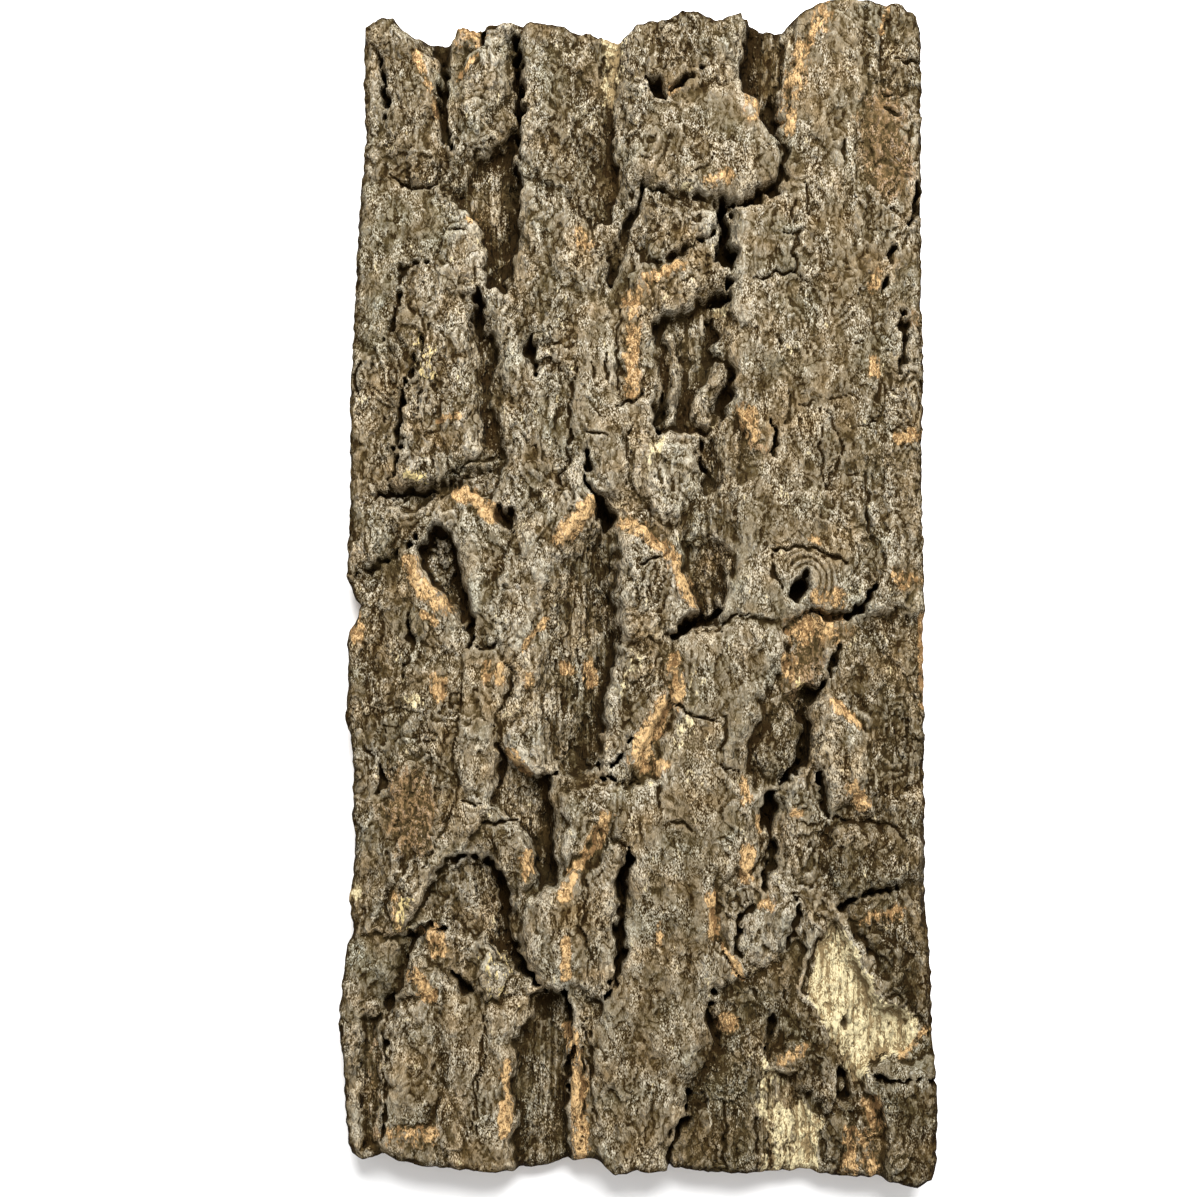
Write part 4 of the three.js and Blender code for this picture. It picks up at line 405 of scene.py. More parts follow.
# Thin cracks: width, depth, path.
cracks = [
    (1.4, 4, [[-130, 213], [-124, 207], [-115, 205], [-107, 207], [-104, 213]]),
    (1.1, 3, [[-102, 182], [-92, 182], [-86, 187]]),
    (1, 3, [[3, 220], [9, 215]]),
    (1, 3, [[28, 212], [41, 220]]),
    (1.4, 4, [[109, 231], [107, 220]]),
    (1.2, 3, [[86, 209], [89, 200], [89, 190]]),
    (1.2, 3, [[80, 197], [80, 185]]),
    (1.5, 4, [[75, 180], [83, 182], [82, 165], [80, 160], [68, 157], [61, 154]]),
    (1.5, 4, [[137, 273], [150, 272]]),
    (1.4, 4, [[128, 258], [138, 255]]),
    (1.9, 5, [[130, 249], [138, 244]]),
    (1.4, 4, [[-147, 113], [-148, 100], [-147, 90]]),
    (1.2, 3, [[-130, 69], [-120, 69]]),
    (1.3, 4, [[-100, 53], [-90, 58], [-78, 61], [-72, 62]]),
    (1.1, 3, [[-34, 112], [-35, 100], [-38, 75], [-38, 60], [-43, 45]]),
    (2, 5, [[-137, 42], [-122, 45], [-105, 46]]),
    (1.4, 4, [[-13, 86], [-8, 88], [-2, 92], [3, 96]]),
    (1.1, 3, [[-5, 78], [-7, 65], [-6, 55], [-8, 45]]),
    (1, 3, [[-30, 75], [-18, 73]]),
    (1.5, 3, [[-25, 109], [-24, 101]]),
    (1.4, 3, [[-18, 115], [-17, 100]]),
    (1.7, 4, [[70, 124], [71, 116]]),
    (1.2, 2.5, [[95, 85], [100, 84], [103, 70], [103, 58], [99, 47], [96, 45], [93, 68], [95, 85]]),
    (1.2, 3, [[78, 95], [79, 85], [75, 75]]),
    (0.9, 2, [[84, 88], [92, 90]]),
    (0.9, 2, [[97, 91], [115, 92]]),
    (0.9, 2, [[110, 120], [118, 121]]),
    (0.9, 2, [[110, 76], [126, 80]]),
    (0.9, 2, [[108, 51], [118, 51]]),
    (1.7, 4, [[68, 12], [85, 14], [100, 9], [105, 7]]),
    (1.4, 4, [[68, 10], [69, 2], [73, -8]]),
    (1.3, 4, [[0, 5], [14, 14]]),
    (1.2, 3, [[-92, -116], [-82, -120]]),
    (1.3, 4, [[-85, -38], [-77, -39], [-73, -35]]),
    (1.3, 4, [[-43, -42], [-43, -50]]),
    (1.3, 4, [[-32, -39], [-32, -48]]),
    (1.2, 3, [[-33, -56], [-33, -65]]),
    (1.9, 5, [[-73, -87], [-70, -95], [-74, -110]]),
    (1.4, 4, [[-80, -130], [-64, -125]]),
    (1.7, 5, [[15, -31], [22, -27], [30, -24], [38, -22]]),
    (1.4, 4, [[41, -30], [45, -22], [55, -21]]),
    (1.4, 4, [[16, -65], [25, -72], [38, -77]]),
    (1.5, 3, [[42, -75], [44, -85], [40, -92]]),
    (1.1, 3, [[40, -98], [50, -102]]),
    (1.4, 3, [[10, -108], [10, -122]]),
    (1.1, 3, [[15, -125], [25, -133]]),
    (1.2, 3, [[57, -208], [58, -218]]),
    (1.2, 3, [[70, -210], [74, -218]]),
    (1.4, 4, [[118, -253], [128, -255]]),
    (1.3, 3, [[42, -265], [42, -300]]),
    (1.3, 3, [[58, -275], [59, -290]]),
    (1.2, 3, [[-29, -225], [-28, -255], [-30, -290]]),
    (1.1, 3, [[40, -188], [51, -206]]),
    (0.9, 2, [[-92, -44], [-93, -70], [-95, -100], [-94, -112], [-98, -125], [-104, -140], [-112, -152]]),
    (1.2, 2.5, [[-79, -223], [-81, -240], [-84, -258], [-85, -282]]),
    (1, 2.5, [[-77, -226], [-79, -242], [-82, -258], [-82, -282]]),
    (1.2, 2.5, [[-28, -152], [-27, -166], [-30, -182], [-26, -194], [-28, -207]]),
    (1.4, 3, [[96, -126], [100, -125], [108, -129], [118, -126], [130, -130], [136, -138]]),
    (1.4, 3, [[129, 300], [129, 280], [130, 262]]),
    (1.4, 3, [[118, 50], [118, 40], [118, 18]]),
    (1.2, 3, [[-71, -40], [-68, -48], [-67, -58], [-72, -70], [-76, -80]]),
    (1, 2.5, [[-10, 140], [-10, 115], [-9, 95]]),
]
# Broken or stained spots, and tone spots of painted light and painted shade: kind, strength, width, path.
patches = [
    ("orange", 0.7, 4, [[-119, 278], [-112, 262], [-108, 245]]),
    ("orange", 0.85, 12, [[-94, 290], [-88, 290]]),
    ("orange", 1, 3, [[-86, 277], [-99, 262]]),
    ("orange", 0.7, 5, [[-90, 188], [-86, 190]]),
    ("orange", 0.75, 7, [[-30, 180], [-28, 175]]),
    ("orange", 1, 4, [[17, 257], [19, 257]]),
    ("orange", 0.6, 7, [[34, 206], [46, 209]]),
    ("pale", 0.5, 6, [[24, 207], [27, 207]]),
    ("orange", 0.6, 8, [[61, 254], [60, 243]]),
    ("orange", 0.7, 7, [[78, 250], [79, 238]]),
    ("orange", 0.6, 10, [[97, 308], [98, 293]]),
    ("orange", 0.7, 6, [[94, 292], [88, 281]]),
    ("orange", 0.6, 9, [[87, 281], [80, 255]]),
    ("orange", 0.8, 3, [[133, 306], [128, 290]]),
    ("orange", 0.6, 6, [[123, 158], [122, 150]]),
    ("orange", 0.7, 7, [[20, 163], [4, 154]]),
    ("orange", 0.8, 8, [[2, 150], [-5, 144]]),
    ("orange", 0.75, 7, [[-4, 142], [-4, 95]]),
    ("orange", 1, 4, [[-104, 80], [-96, 83]]),
    ("crumb", 0.7, 16, [[-112, 122], [-110, 106]]),
    ("crumb", 1, 8, [[-119, 51], [-114, 51]]),
    ("orange", 1, 8, [[-95, 43], [-90, 42], [-82, 35], [-77, 32]]),
    ("orange", 0.8, 7, [[-119, 6], [-116, -3], [-110, -10], [-104, -14], [-100, -18]]),
    ("orange", 1, 7, [[-25, 38], [-31, 30], [-42, 18]]),
    ("pale", 1, 4, [[40, 140], [44, 140]]),
    ("orange", 0.75, 8, [[54, 85], [60, 74]]),
    ("rust", 0.7, 9, [[58, 70], [66, 64]]),
    ("orange", 0.8, 5, [[122, 112], [122, 104]]),
    ("orange", 1, 5, [[134, 71], [144, 72]]),
    ("rust", 0.7, 6, [[143, 136], [143, 129]]),
    ("orange", 0.75, 8, [[133, -2], [140, -4]]),
    ("orange", 0.8, 8, [[92, -11], [101, -13]]),
    ("orange", 1, 3, [[89, 17], [91, 17]]),
    ("orange", 0.85, 7, [[-8, 27], [5, 20], [14, 12], [20, 0], [27, -13]]),
    ("orange", 0.7, 6, [[-148, -23], [-146, -33]]),
    ("orange", 1, 7, [[-104, -54], [-103, -62]]),
    ("pale", 0.8, 5, [[-118, -65], [-116, -65]]),
    ("rust", 1, 26, [[-118, -112], [-117, -128]]),
    ("orange", 1, 4, [[-79, -47], [-79, -55]]),
    ("orange", 1, 3.5, [[-72, -48], [-72, -56]]),
    ("orange", 1, 2.5, [[-48, -22], [-55, -30], [-60, -38]]),
    ("orange", 1, 5, [[-57, -53], [-57, -56]]),
    ("orange", 1, 6, [[-39, -48], [-37, -49]]),
    ("orange", 1, 6, [[-26, -45], [-26, -56]]),
    ("orange", 1, 4, [[-66, -92], [-58, -102]]),
    ("pale", 0.5, 7, [[-4, -42], [-6, -50], [-10, -60]]),
    ("orange", 1, 6, [[-17, -125], [-22, -135], [-30, -148]]),
    ("orange", 1, 6, [[-34, -153], [-38, -163]]),
    ("orange", 1, 5, [[-58, -144], [-57, -155]]),
    ("orange", 1, 8, [[18, -46], [18, -62]]),
    ("orange", 1, 9, [[14, -68], [5, -82], [-1, -94]]),
    ("orange", 1, 7, [[2, -99], [11, -99]]),
    ("pale", 0.4, 8, [[26, -50], [25, -64]]),
    ("pale", 0.4, 8, [[27, -70], [20, -84]]),
    ("orange", 0.85, 4, [[98, -66], [112, -78]]),
    ("orange", 1, 7, [[108, -110], [113, -117]]),
    ("orange", 1, 5, [[79, -123], [81, -123]]),
    ("orange", 0.7, 14, [[82, -29], [92, -25], [100, -28]]),
    ("orange", 1, 6, [[77, -44], [77, -52]]),
    ("crumb", 1, 4, [[81, -57], [83, -57]]),
    ("orange", 0.85, 5, [[53, -108], [54, -116]]),
    ("orange", 1, 4, [[60, -125], [60, -130]]),
    ("orange", 1, 6, [[55, -142], [53, -154]]),
    ("orange", 1, 3, [[145, -22], [145, -68]]),
    ("pale", 1, 8, [[-148, -163], [-146, -163]]),
    ("orange", 1, 8, [[-113, -205], [-108, -213]]),
    ("orange", 1, 7, [[-106, -184], [-102, -192]]),
    ("orange", 0.7, 8, [[-125, -283], [-106, -283]]),
    ("crumb", 1, 6, [[-123, -181], [-120, -166]]),
    ("crumb", 0.7, 16, [[-74, -198], [-73, -210]]),
    ("orange", 0.8, 4, [[-38, -187], [-38, -204]]),
    ("orange", 1, 5, [[-68, -249], [-68, -281]]),
    ("orange", 0.9, 7, [[-36, -232], [-31, -250], [-30, -293]]),
    ("orange", 1, 6, [[62, -168], [64, -168]]),
    ("orange", 1, 5, [[36, -164], [37, -184]]),
    ("orange", 1, 4, [[41, -189], [50, -205]]),
    ("orange", 0.8, 3, [[9, -179], [9, -188]]),
    ("orange", 1, 8, [[43, -228], [45, -228]]),
    ("orange", 0.6, 6, [[70, -246], [82, -240]]),
    ("orange", 1, 7, [[115, -266], [117, -278]]),
    ("orange", 0.6, 8, [[104, -282], [104, -300]]),
    ("orange", 0.6, 8, [[112, -284], [116, -300]]),
    ("orange", 0.5, 7, [[110, -176], [130, -172]]),
    ("orange", 0.4, 4, [[131, -244], [146, -230]]),
    ("rust", 1, 24, [[128, 245], [131, 210]]),
    ("orange", 0.8, 4, [[-113, -20], [-106, -25]]),
    ("orange", 0.6, 4, [[-124, -163], [-125, -174], [-121, -182], [-113, -181]]),
    ("orange", 0.7, 4, [[77, -42], [77, -55]]),
    # tone spots: painted light on spots that the relief leaves in shade, and painted shade in hollows and
    # gaps
    ("tone", 1.5, 11, [[14, -66], [5, -82], [-1, -94]]),
    ("tone", 1.2, 9, [[2, -99], [11, -99]]),
    ("tone", 0.9, 6, [[-66, -92], [-58, -102]]),
    ("tone", 0.8, 7, [[77, -42], [77, -55]]),
    ("tone", 0.7, 6, [[41, -189], [50, -205]]),
    ("tone", 0.6, 6, [[-100, 80], [-96, 83]]),
    ("tone", 0.7, 7, [[24, 207], [27, 207]]),
    ("tone", 0.6, 6, [[81, -57], [83, -57]]),
    ("tone", 0.4, 6, [[-17, -125], [-30, -148]]),
    ("tone", -1, 14, [[-34, -111], [-28, -112]]),
    ("tone", 0.7, 9, [[-87, -141], [-103, -157], [-117, -176]]),
    ("tone", -0.5, 22, [[-140, -24], [-140, -65]]),
    ("tone", -0.8, 9, [[6, 197], [8, 178]]),
    ("tone", -0.9, 9, [[35, 167], [36, 150]]),
    ("tone", 0.9, 8, [[-11, 137], [-13, 103]]),
    ("tone", -0.9, 10, [[58, 298], [62, 290]]),
    ("tone", -0.8, 9, [[-60, 145], [-60, 132]]),
    ("tone", -1.2, 7, [[119, -4], [120, -12]]),
    ("tone", 0.9, 7, [[66, -248], [74, -246]]),
    ("tone", 0.7, 8, [[18, -272], [18, -284]]),
    ("tone", -0.6, 16, [[-34, 0], [-38, -40], [-38, -84]]),
    ("tone", 0.5, 6, [[-21, -5], [-20, -75]]),
    ("rust", 0.9, 16, [[92, -32], [80, -58]]),
]
# Larger stained areas: kind, strength, outline.
fields = [
    ("pale", 0.85, [[95, -178], [101, -179], [110, -194], [117, -206], [121, -214], [132, -220],
        [141, -226], [137, -240], [125, -245], [115, -248], [110, -260], [106, -258], [98, -240],
        [92, -230], [85, -215], [88, -200], [86, -193], [91, -186]]),
    ("pale", 0.5, [[62, -245], [68, -250], [73, -258], [75, -268], [85, -268], [88, -275], [87, -306],
        [58, -306], [60, -285], [57, -268]]),
    ("pale", 0.45, [[1, 70], [14, 70], [13, 63], [8, 55], [6, 45], [1, 40]]),
    ("pale", 0.6, [[-22, 290], [-7, 290], [-9, 262], [-12, 245], [-20, 255]]),
    ("rust", 0.5, [[-140, -225], [-131, -225], [-130, -290], [-140, -290]]),
    ("pale", 0.95, [[76, -264], [86, -270], [90, -276], [88, -308], [73, -308], [75, -285]]),
]
# The relief, in millimetres. A pair named Size or Run is across and along the slab.
barkForm = {
    "valleyHeight": 25, "valleyDrift": 2.5, "driftAcross": 38, "driftAlong": 95,
    "raggedReach": 1.7, "raggedSize": 13,
    "lumpHeight": 1.3, "lumpAcross": 8, "lumpAlong": 17,
    "swellHeight": 1.6, "swellAcross": 21, "swellAlong": 44,
    "wallSwing": 1.3, "wallRun": 22, "edgeSwing": 0.6, "edgeRun": 31,
    "fissureSwing": 1.0, "fissureRun": 10, "fissureFlank": 0.7, "fissureEnds": (0.04, 0.96), "floorSwing": 5,
    "leastHeight": 2.5, "rimRound": 5, "rimDrop": 3, "rimShade": 1.2,
    "tornReach": 2.2, "tornSize": 4.6, "tornStretch": 1.5,  # finer wander of the plate outlines
    "frayReach": 1.9, "fraySize": 3.2, "fineStretch": 1.6,  # frayed walls of the fissures
    "crackLeast": 0.35, "crackCore": 0.2, "crackEnds": (0.02, 0.98),
    "flakeSize": (17, 32), "flakeSteps": 3.0, "flakeHeight": 2.3,  # layers, each with one sharp edge
    "flakyLeast": 0.35, "flakyRun": (34, 60), "flakyBand": (-0.35, 0.4),  # where the layers show
    "scaleSize": (9, 19), "scaleHeight": 1.1, "chipSize": (4.2, 9.5), "chipHeight": 0.8,
    "crinkleHeight": 0.55, "crinkleSize": (7.0, 13.0),
    "fibreHeight": 0.8, "fibreSize": (2.4, 36), "fibreSway": 1.5, "fibreSwayRun": (30, 60), "fibreLeast": 0.1,
    "grainCalm": 0.85, "grainCrinkle": 0.5,  # how far a fibrous surface loses its flakes and crinkles
    "gritHeight": 0.35, "gritSize": 2.2, "ringHeight": 0.3, "ringStep": 2.7,
    "sideRings": 9, "sideRough": 1.2, "sideSize": (9, 3.4), "sideMiddle": 0.45, "sideTuck": 1.5,
    "rimRough": 1.0, "rimSize": 5, "rimReach": 8,
    "columns": 300, "rows": 606, "faceBudget": 192000, "hollowSteps": (1, 3, 9),
    "creaseOctaves": 3, "creaseStep": 2.1, "facetStep": 0.6, "facetGain": 2,
    "layers": {"sway": 0.25, "swayAcross": 0.5, "swayAlong": 0.4, "finer": 0.45},
    "knot": {  # a slanting hole with rings half round it
        "place": (85, -4), "hole": 4.2, "reach": 19, "ripple": 3.0, "height": 0.9, "squash": 0.85,
        "wander": 0.5, "wanderSize": 9, "holeFade": 3, "reachFade": 5, "turn": 0.9, "arc": (-0.5, 0.4),
        "wellShift": (2, 3), "wellLean": 0.35, "wellSquash": 0.6, "wellWander": 1.6, "wellWanderSize": 5,
        "wellFade": 1.5, "wellFloor": 7,
    },
    "stain": {
        "tornReach": 1.6, "tornSize": (6, 8), "pathMargin": 3, "fieldMargin": 4, "fieldFade": (-3, 4),
    },
    "seeds": {
        "valley": 1, "lump": 2, "raggedX": 3, "raggedY": 4, "wall": 7, "fissure": 8, "swell": 9, "edge": 10,
        "floor": 11, "tornX": 21, "tornY": 22, "fray": 23, "flake": 31, "crinkle": 41, "fibreSway": 51,
        "fibre": 52, "grit": 61, "stainX": 71, "stainY": 72, "rimX": 81, "rimY": 82, "side": 91,
        "flaky": 103, "scale": 131, "chip": 141, "knot": 151, "well": 152,
    },
}
seeds = barkForm["seeds"]
farAway = 1e9
rippleGain = 1.5


def smooth(value, low, high):
    share = np.clip((value - low) / (high - low), 0, 1)
    return share * share * (3 - 2 * share)


def cellValue(column, row, seed):  # one random share for each cell of a lattice, as in the part
    wave = np.sin(column * 127.1 + row * 311.7 + seed * 74.7) * 43758.5453
    return wave - np.floor(wave)


def drift(x, y, sizeX, sizeY, seed):  # soft random waves from -1 to 1, as in the part
    column, row = np.floor(x / sizeX), np.floor(y / sizeY)
    u, v = smooth(x / sizeX - column, 0, 1), smooth(y / sizeY - row, 0, 1)
    low = cellValue(column, row, seed) * (1 - u) + cellValue(column + 1, row, seed) * u
    high = cellValue(column, row + 1, seed) * (1 - u) + cellValue(column + 1, row + 1, seed) * u
    return 2 * (low * (1 - v) + high * v) - 1


def ripple(x, y, sizeX, sizeY, seed):  # finer random waves without lattice lines, about -1 to 1
    u, v = x / sizeX, y / sizeY
    column, row = np.floor(u), np.floor(v)
    du, dv = u - column, v - row
    wu, wv = smooth(du, 0, 1), smooth(dv, 0, 1)
    total = 0
    for i in (0, 1):
        for j in (0, 1):
            angle = 2 * math.pi * cellValue(column + i, row + j, seed)
            lean = np.cos(angle) * (du - i) + np.sin(angle) * (dv - j)
            total = total + lean * (wu if i else 1 - wu) * (wv if j else 1 - wv)
    return rippleGain * total


def creased(x, y, sizeX, sizeY, seed):  # rounded swellings with sharp creases between them
    total = 0
    for octave in range(barkForm["creaseOctaves"]):
        scale = barkForm["creaseStep"] ** octave
        total = total + np.abs(ripple(x, y, sizeX / scale, sizeY / scale, seed + octave)) / scale
    return total


def layered(x, y, sizeX, sizeY, steps, seed):  # flakes that rise slowly and break off sharply
    form = barkForm["layers"]
    sway, swayX, swayY = form["sway"] * sizeX, form["swayAcross"] * sizeX, form["swayAlong"] * sizeY
    shiftX = x + sway * ripple(x, y, swayX, swayY, seed + 1)
    shiftY = y + sway * ripple(x, y, swayX, swayY, seed + 2)
    level = ripple(shiftX, shiftY, sizeX, sizeY, seed)
    level = level + form["finer"] * ripple(shiftX, shiftY, sizeX / 2, sizeY / 2, seed + 3)
    level = level * steps
    return level - np.floor(level) - 0.5


def scaly(x, y, sizeX, sizeY, seed):  # small scales, each a flat facet with its own level and tilt
    u, v = x / sizeX, y / sizeY
    column, row = np.floor(u), np.floor(v)
    nearest, facet = np.full(x.shape, farAway), np.zeros(x.shape)
    for i in (-1, 0, 1):
        for j in (-1, 0, 1):
            draws = [cellValue(column + i, row + j, seed + k) for k in range(5)]
            shiftX, shiftY, tiltX, tiltY, level = draws
            du, dv = u - column - i - shiftX, v - row - j - shiftY
            gap = du * du + dv * dv
            own = du * (tiltX - 0.5) + dv * (tiltY - 0.5) + barkForm["facetStep"] * (level - 0.5)
            facet = np.where(gap < nearest, own, facet)
            nearest = np.minimum(gap, nearest)
    return barkForm["facetGain"] * facet


def pathDistance(x, y, path):  # how far off the path, and how far along it
    nearest, where = np.full(x.shape, farAway), np.zeros(x.shape)
    for i in range(len(path) - 1):
        (ax, ay), (bx, by) = path[i], path[i + 1]
        run = (bx - ax) ** 2 + (by - ay) ** 2
        share = np.clip(((x - ax) * (bx - ax) + (y - ay) * (by - ay)) / run, 0, 1)
        gap = np.hypot(x - ax - share * (bx - ax), y - ay - share * (by - ay))
        closer = gap < nearest
        nearest = np.where(closer, gap, nearest)
        where = np.where(closer, (i + share) / (len(path) - 1), where)
    return nearest, where


def outlineDistance(x, y, outline):  # positive inside
    nearest, _ = pathDistance(x, y, outline + outline[:1])
    inside = np.zeros(x.shape, bool)
    for (ax, ay), (bx, by) in zip(outline, outline[1:] + outline[:1]):
        if ay != by:
            crosses = ((ay > y) != (by > y)) & (x < ax + (y - ay) * (bx - ax) / (by - ay))
            inside ^= crosses
    return np.where(inside, nearest, -nearest)


def nearPoints(x, y, points, margin):  # which places lie in the box round a list of points
    xs, ys = [p[0] for p in points], [p[1] for p in points]
    return np.flatnonzero((x > min(xs) - margin) & (x < max(xs) + margin)
                          & (y > min(ys) - margin) & (y < max(ys) + margin))


def shapeBark(x, y, inland):
    form = barkForm
    tornSize, tornLong = form["tornSize"], form["tornSize"] * form["tornStretch"]
    warpX = x + form["raggedReach"] * drift(x, y, form["raggedSize"], form["raggedSize"], seeds["raggedX"])
    warpY = y + form["raggedReach"] * drift(x, y, form["raggedSize"], form["raggedSize"], seeds["raggedY"])
    tornX = warpX + form["tornReach"] * ripple(x, y, tornSize, tornLong, seeds["tornX"])
    tornY = warpY + form["tornReach"] * ripple(x, y, tornSize, tornLong, seeds["tornY"])
    stretch = 2 ** (form["wallSwing"] * drift(x, y, form["wallRun"], form["wallRun"], seeds["wall"]))
    sharpness = 1 + form["edgeSwing"] * drift(x, y, form["edgeRun"], form["edgeRun"], seeds["edge"])
    bottom = form["floorSwing"] * drift(x, y, form["fissureRun"], form["fissureRun"], seeds["floor"])
    pinch = 1 + form["fissureSwing"] * drift(x, y, form["fissureRun"], form["fissureRun"], seeds["fissure"])
    waves = drift(x, y, form["driftAcross"], form["driftAlong"], seeds["valley"])
    height = form["valleyHeight"] + form["valleyDrift"] * waves
    skin = {key: np.full(x.shape, usual) for key, usual in usualKind.items()}
    for piece in plates:
        outline = piece["outline"]
        near = nearPoints(tornX, tornY, outline, piece["wall"])
        depth = outlineDistance(tornX[near], tornY[near], outline)
        halfWall = piece["wall"] / 2 * stretch[near]
        cover = smooth(depth, -halfWall, halfWall)
        inward = np.clip(depth / piece["reach"], 0, 1)
        middleX = (min(p[0] for p in outline) + max(p[0] for p in outline)) / 2
        middleY = (min(p[1] for p in outline) + max(p[1] for p in outline)) / 2
        tilt = piece["lean"][0] * (x[near] - middleX) + piece["lean"][1] * (y[near] - middleY)
        level = piece["height"] + tilt + piece["edge"] * sharpness[near] * (1 - inward) ** 2
        if piece["rings"]:
            level += piece["rings"] * form["ringHeight"] * np.cos(2 * math.pi * depth / form["ringStep"])
        height[near] += (level - height[near]) * cover
        for key in usualKind:
            skin[key][near] += (piece[key] - skin[key][near]) * cover
    height += form["lumpHeight"] * drift(x, y, form["lumpAcross"], form["lumpAlong"], seeds["lump"])
    height += form["swellHeight"] * drift(x, y, form["swellAcross"], form["swellAlong"], seeds["swell"])
    # each valley is sunk and gets painted shade along its floor
    for depth, width, shade, path in valleys:
        near = nearPoints(warpX, warpY, path, width)
        gap, _ = pathDistance(warpX[near], warpY[near], path)
        sink = 1 - smooth(gap, 0, width)
        height[near] -= depth * sink
        skin["tone"][near] += shade * sink

    height += fineRelief(x, y, tornX, tornY, skin["grain"], skin["rugged"])
    height = cutKnot(x, y, height)
    frayRun = form["fraySize"] * form["fineStretch"]
    for floor, width, path in fissures:
        near = nearPoints(tornX, tornY, path, width)
        gap, where = pathDistance(tornX[near], tornY[near], path)
        fray = ripple(x[near], y[near], form["fraySize"], frayRun, seeds["fray"])
        gap += form["frayReach"] * fray
        half = width / 2 * np.sqrt(np.sin(math.pi * np.clip(where, *form["fissureEnds"]))) * pinch[near]
        cut = 1 - smooth(gap, half * (1 - form["fissureFlank"]), half * (1 + form["fissureFlank"]))
        height[near] += (np.minimum(height[near], floor + bottom[near]) - height[near]) * cut
    for width, depth, path in cracks:
        near = nearPoints(tornX, tornY, path, width * 2)
        gap, where = pathDistance(tornX[near], tornY[near], path)
        taper = np.sin(math.pi * np.clip(where, *form["crackEnds"]))
        half = width * (form["crackLeast"] + (1 - form["crackLeast"]) * taper)
        height[near] -= depth * (1 - smooth(gap, form["crackCore"] * half, half))
    away = 1 - np.clip(inland / form["rimRound"], 0, 1)
    height -= form["rimDrop"] * away ** 2
    skin["tone"] -= form["rimShade"] * away ** 2
    return np.maximum(height, form["leastHeight"]), skin


def fineRelief(x, y, tornX, tornY, grain, rugged):  # flakes, scales, chips, crinkles, fibres and grit
    form = barkForm
    plain = (1 - form["grainCalm"] * grain) * rugged
    shown = smooth(ripple(x, y, *form["flakyRun"], seeds["flaky"]), *form["flakyBand"])
    flaky = form["flakyLeast"] + (1 - form["flakyLeast"]) * shown
    flakes = layered(x, y, *form["flakeSize"], form["flakeSteps"], seeds["flake"])
    relief = plain * flaky * form["flakeHeight"] * flakes
    relief += plain * form["scaleHeight"] * scaly(tornX, tornY, *form["scaleSize"], seeds["scale"])
    relief += rugged * form["chipHeight"] * scaly(tornX, tornY, *form["chipSize"], seeds["chip"])
    crinkle = creased(tornX, tornY, *form["crinkleSize"], seeds["crinkle"])
    relief -= form["crinkleHeight"] * (crinkle - 0.5) * (1 - form["grainCrinkle"] * grain) * rugged
    sway = form["fibreSway"] * ripple(x, y, *form["fibreSwayRun"], seeds["fibreSway"])
    fibre = creased(x + sway, y, *form["fibreSize"], seeds["fibre"])
    relief += form["fibreHeight"] * (fibre - 0.5) * (form["fibreLeast"] + (1 - form["fibreLeast"]) * grain)
    grit = ripple(x, y, form["gritSize"], form["gritSize"] * form["fineStretch"], seeds["grit"])
    return relief + form["gritHeight"] * grit * rugged


def cutKnot(x, y, height):
    form = barkForm["knot"]
    fromX, fromY = x - form["place"][0], y - form["place"][1]
    hole, reach = form["hole"], form["reach"]
    around = np.hypot(fromX, fromY * form["squash"])
    around += form["wander"] * ripple(x, y, form["wanderSize"], form["wanderSize"], seeds["knot"])
    ring = smooth(around, hole, hole + form["holeFade"]) * smooth(reach - around, 0, form["reachFade"])
    ring *= smooth(np.cos(np.arctan2(fromY, fromX) - form["turn"]), *form["arc"])
    height = height + form["height"] * np.cos(2 * math.pi * around / form["ripple"]) * ring
    shiftX, shiftY = form["wellShift"]
    sideways = np.hypot(fromX + shiftX - form["wellLean"] * fromY, (fromY + shiftY) * form["wellSquash"])
    wander = ripple(x, y, form["wellWanderSize"], form["wellWanderSize"], seeds["well"])
    sideways += form["wellWander"] * wander
    well = 1 - smooth(sideways, hole - form["wellFade"], hole + form["wellFade"])
    return height + (np.minimum(height, form["wellFloor"]) - height) * well


def stronger(first, second):
    return np.where(np.abs(second) > np.abs(first), second, first)


def stainAndShadeBark(x, y):
    form = barkForm["stain"]
    tornX = x + form["tornReach"] * ripple(x, y, *form["tornSize"], seeds["stainX"])
    tornY = y + form["tornReach"] * ripple(x, y, *form["tornSize"], seeds["stainY"])
    # the tone spots are painted light and painted shade, gathered with the real stains
    stains = {kind: np.zeros(x.shape) for kind in ("orange", "pale", "rust", "crumb", "tone")}
    for kind, strength, width, path in patches:
        near = nearPoints(tornX, tornY, path, width + form["pathMargin"])
        gap, _ = pathDistance(tornX[near], tornY[near], path)
        stains[kind][near] = stronger(stains[kind][near], strength * (1 - smooth(gap, 0, width)))
    for kind, strength, outline in fields:
        near = nearPoints(tornX, tornY, outline, form["fieldMargin"])
        depth = outlineDistance(tornX[near], tornY[near], outline)
        stains[kind][near] = stronger(stains[kind][near], strength * smooth(depth, *form["fieldFade"]))
    return stains


def walk(points, count):  # even steps along a drawn line
    line = np.array(points, float)
    run = np.concatenate([[0], np.cumsum(np.hypot(*np.diff(line, axis=0).T))])
    spots = np.linspace(0, run[-1], count)
    return np.stack([np.interp(spots, run, line[:, 0]), np.interp(spots, run, line[:, 1])], 1)


def blur(values, steps):  # soft average over neighbouring grid points
    size = 2 * steps + 1
    for axis in (0, 1):
        padded = np.pad(values, [(steps, steps) if a == axis else (0, 0) for a in (0, 1)], mode="edge")
        sums = np.cumsum(padded, axis)
        first = np.take(sums, [0], axis) * 0
        sums = np.concatenate([first, sums], axis)
        count = values.shape[axis]
        values = (np.take(sums, range(size, size + count), axis) - np.take(sums, range(count), axis)) / size
    return values


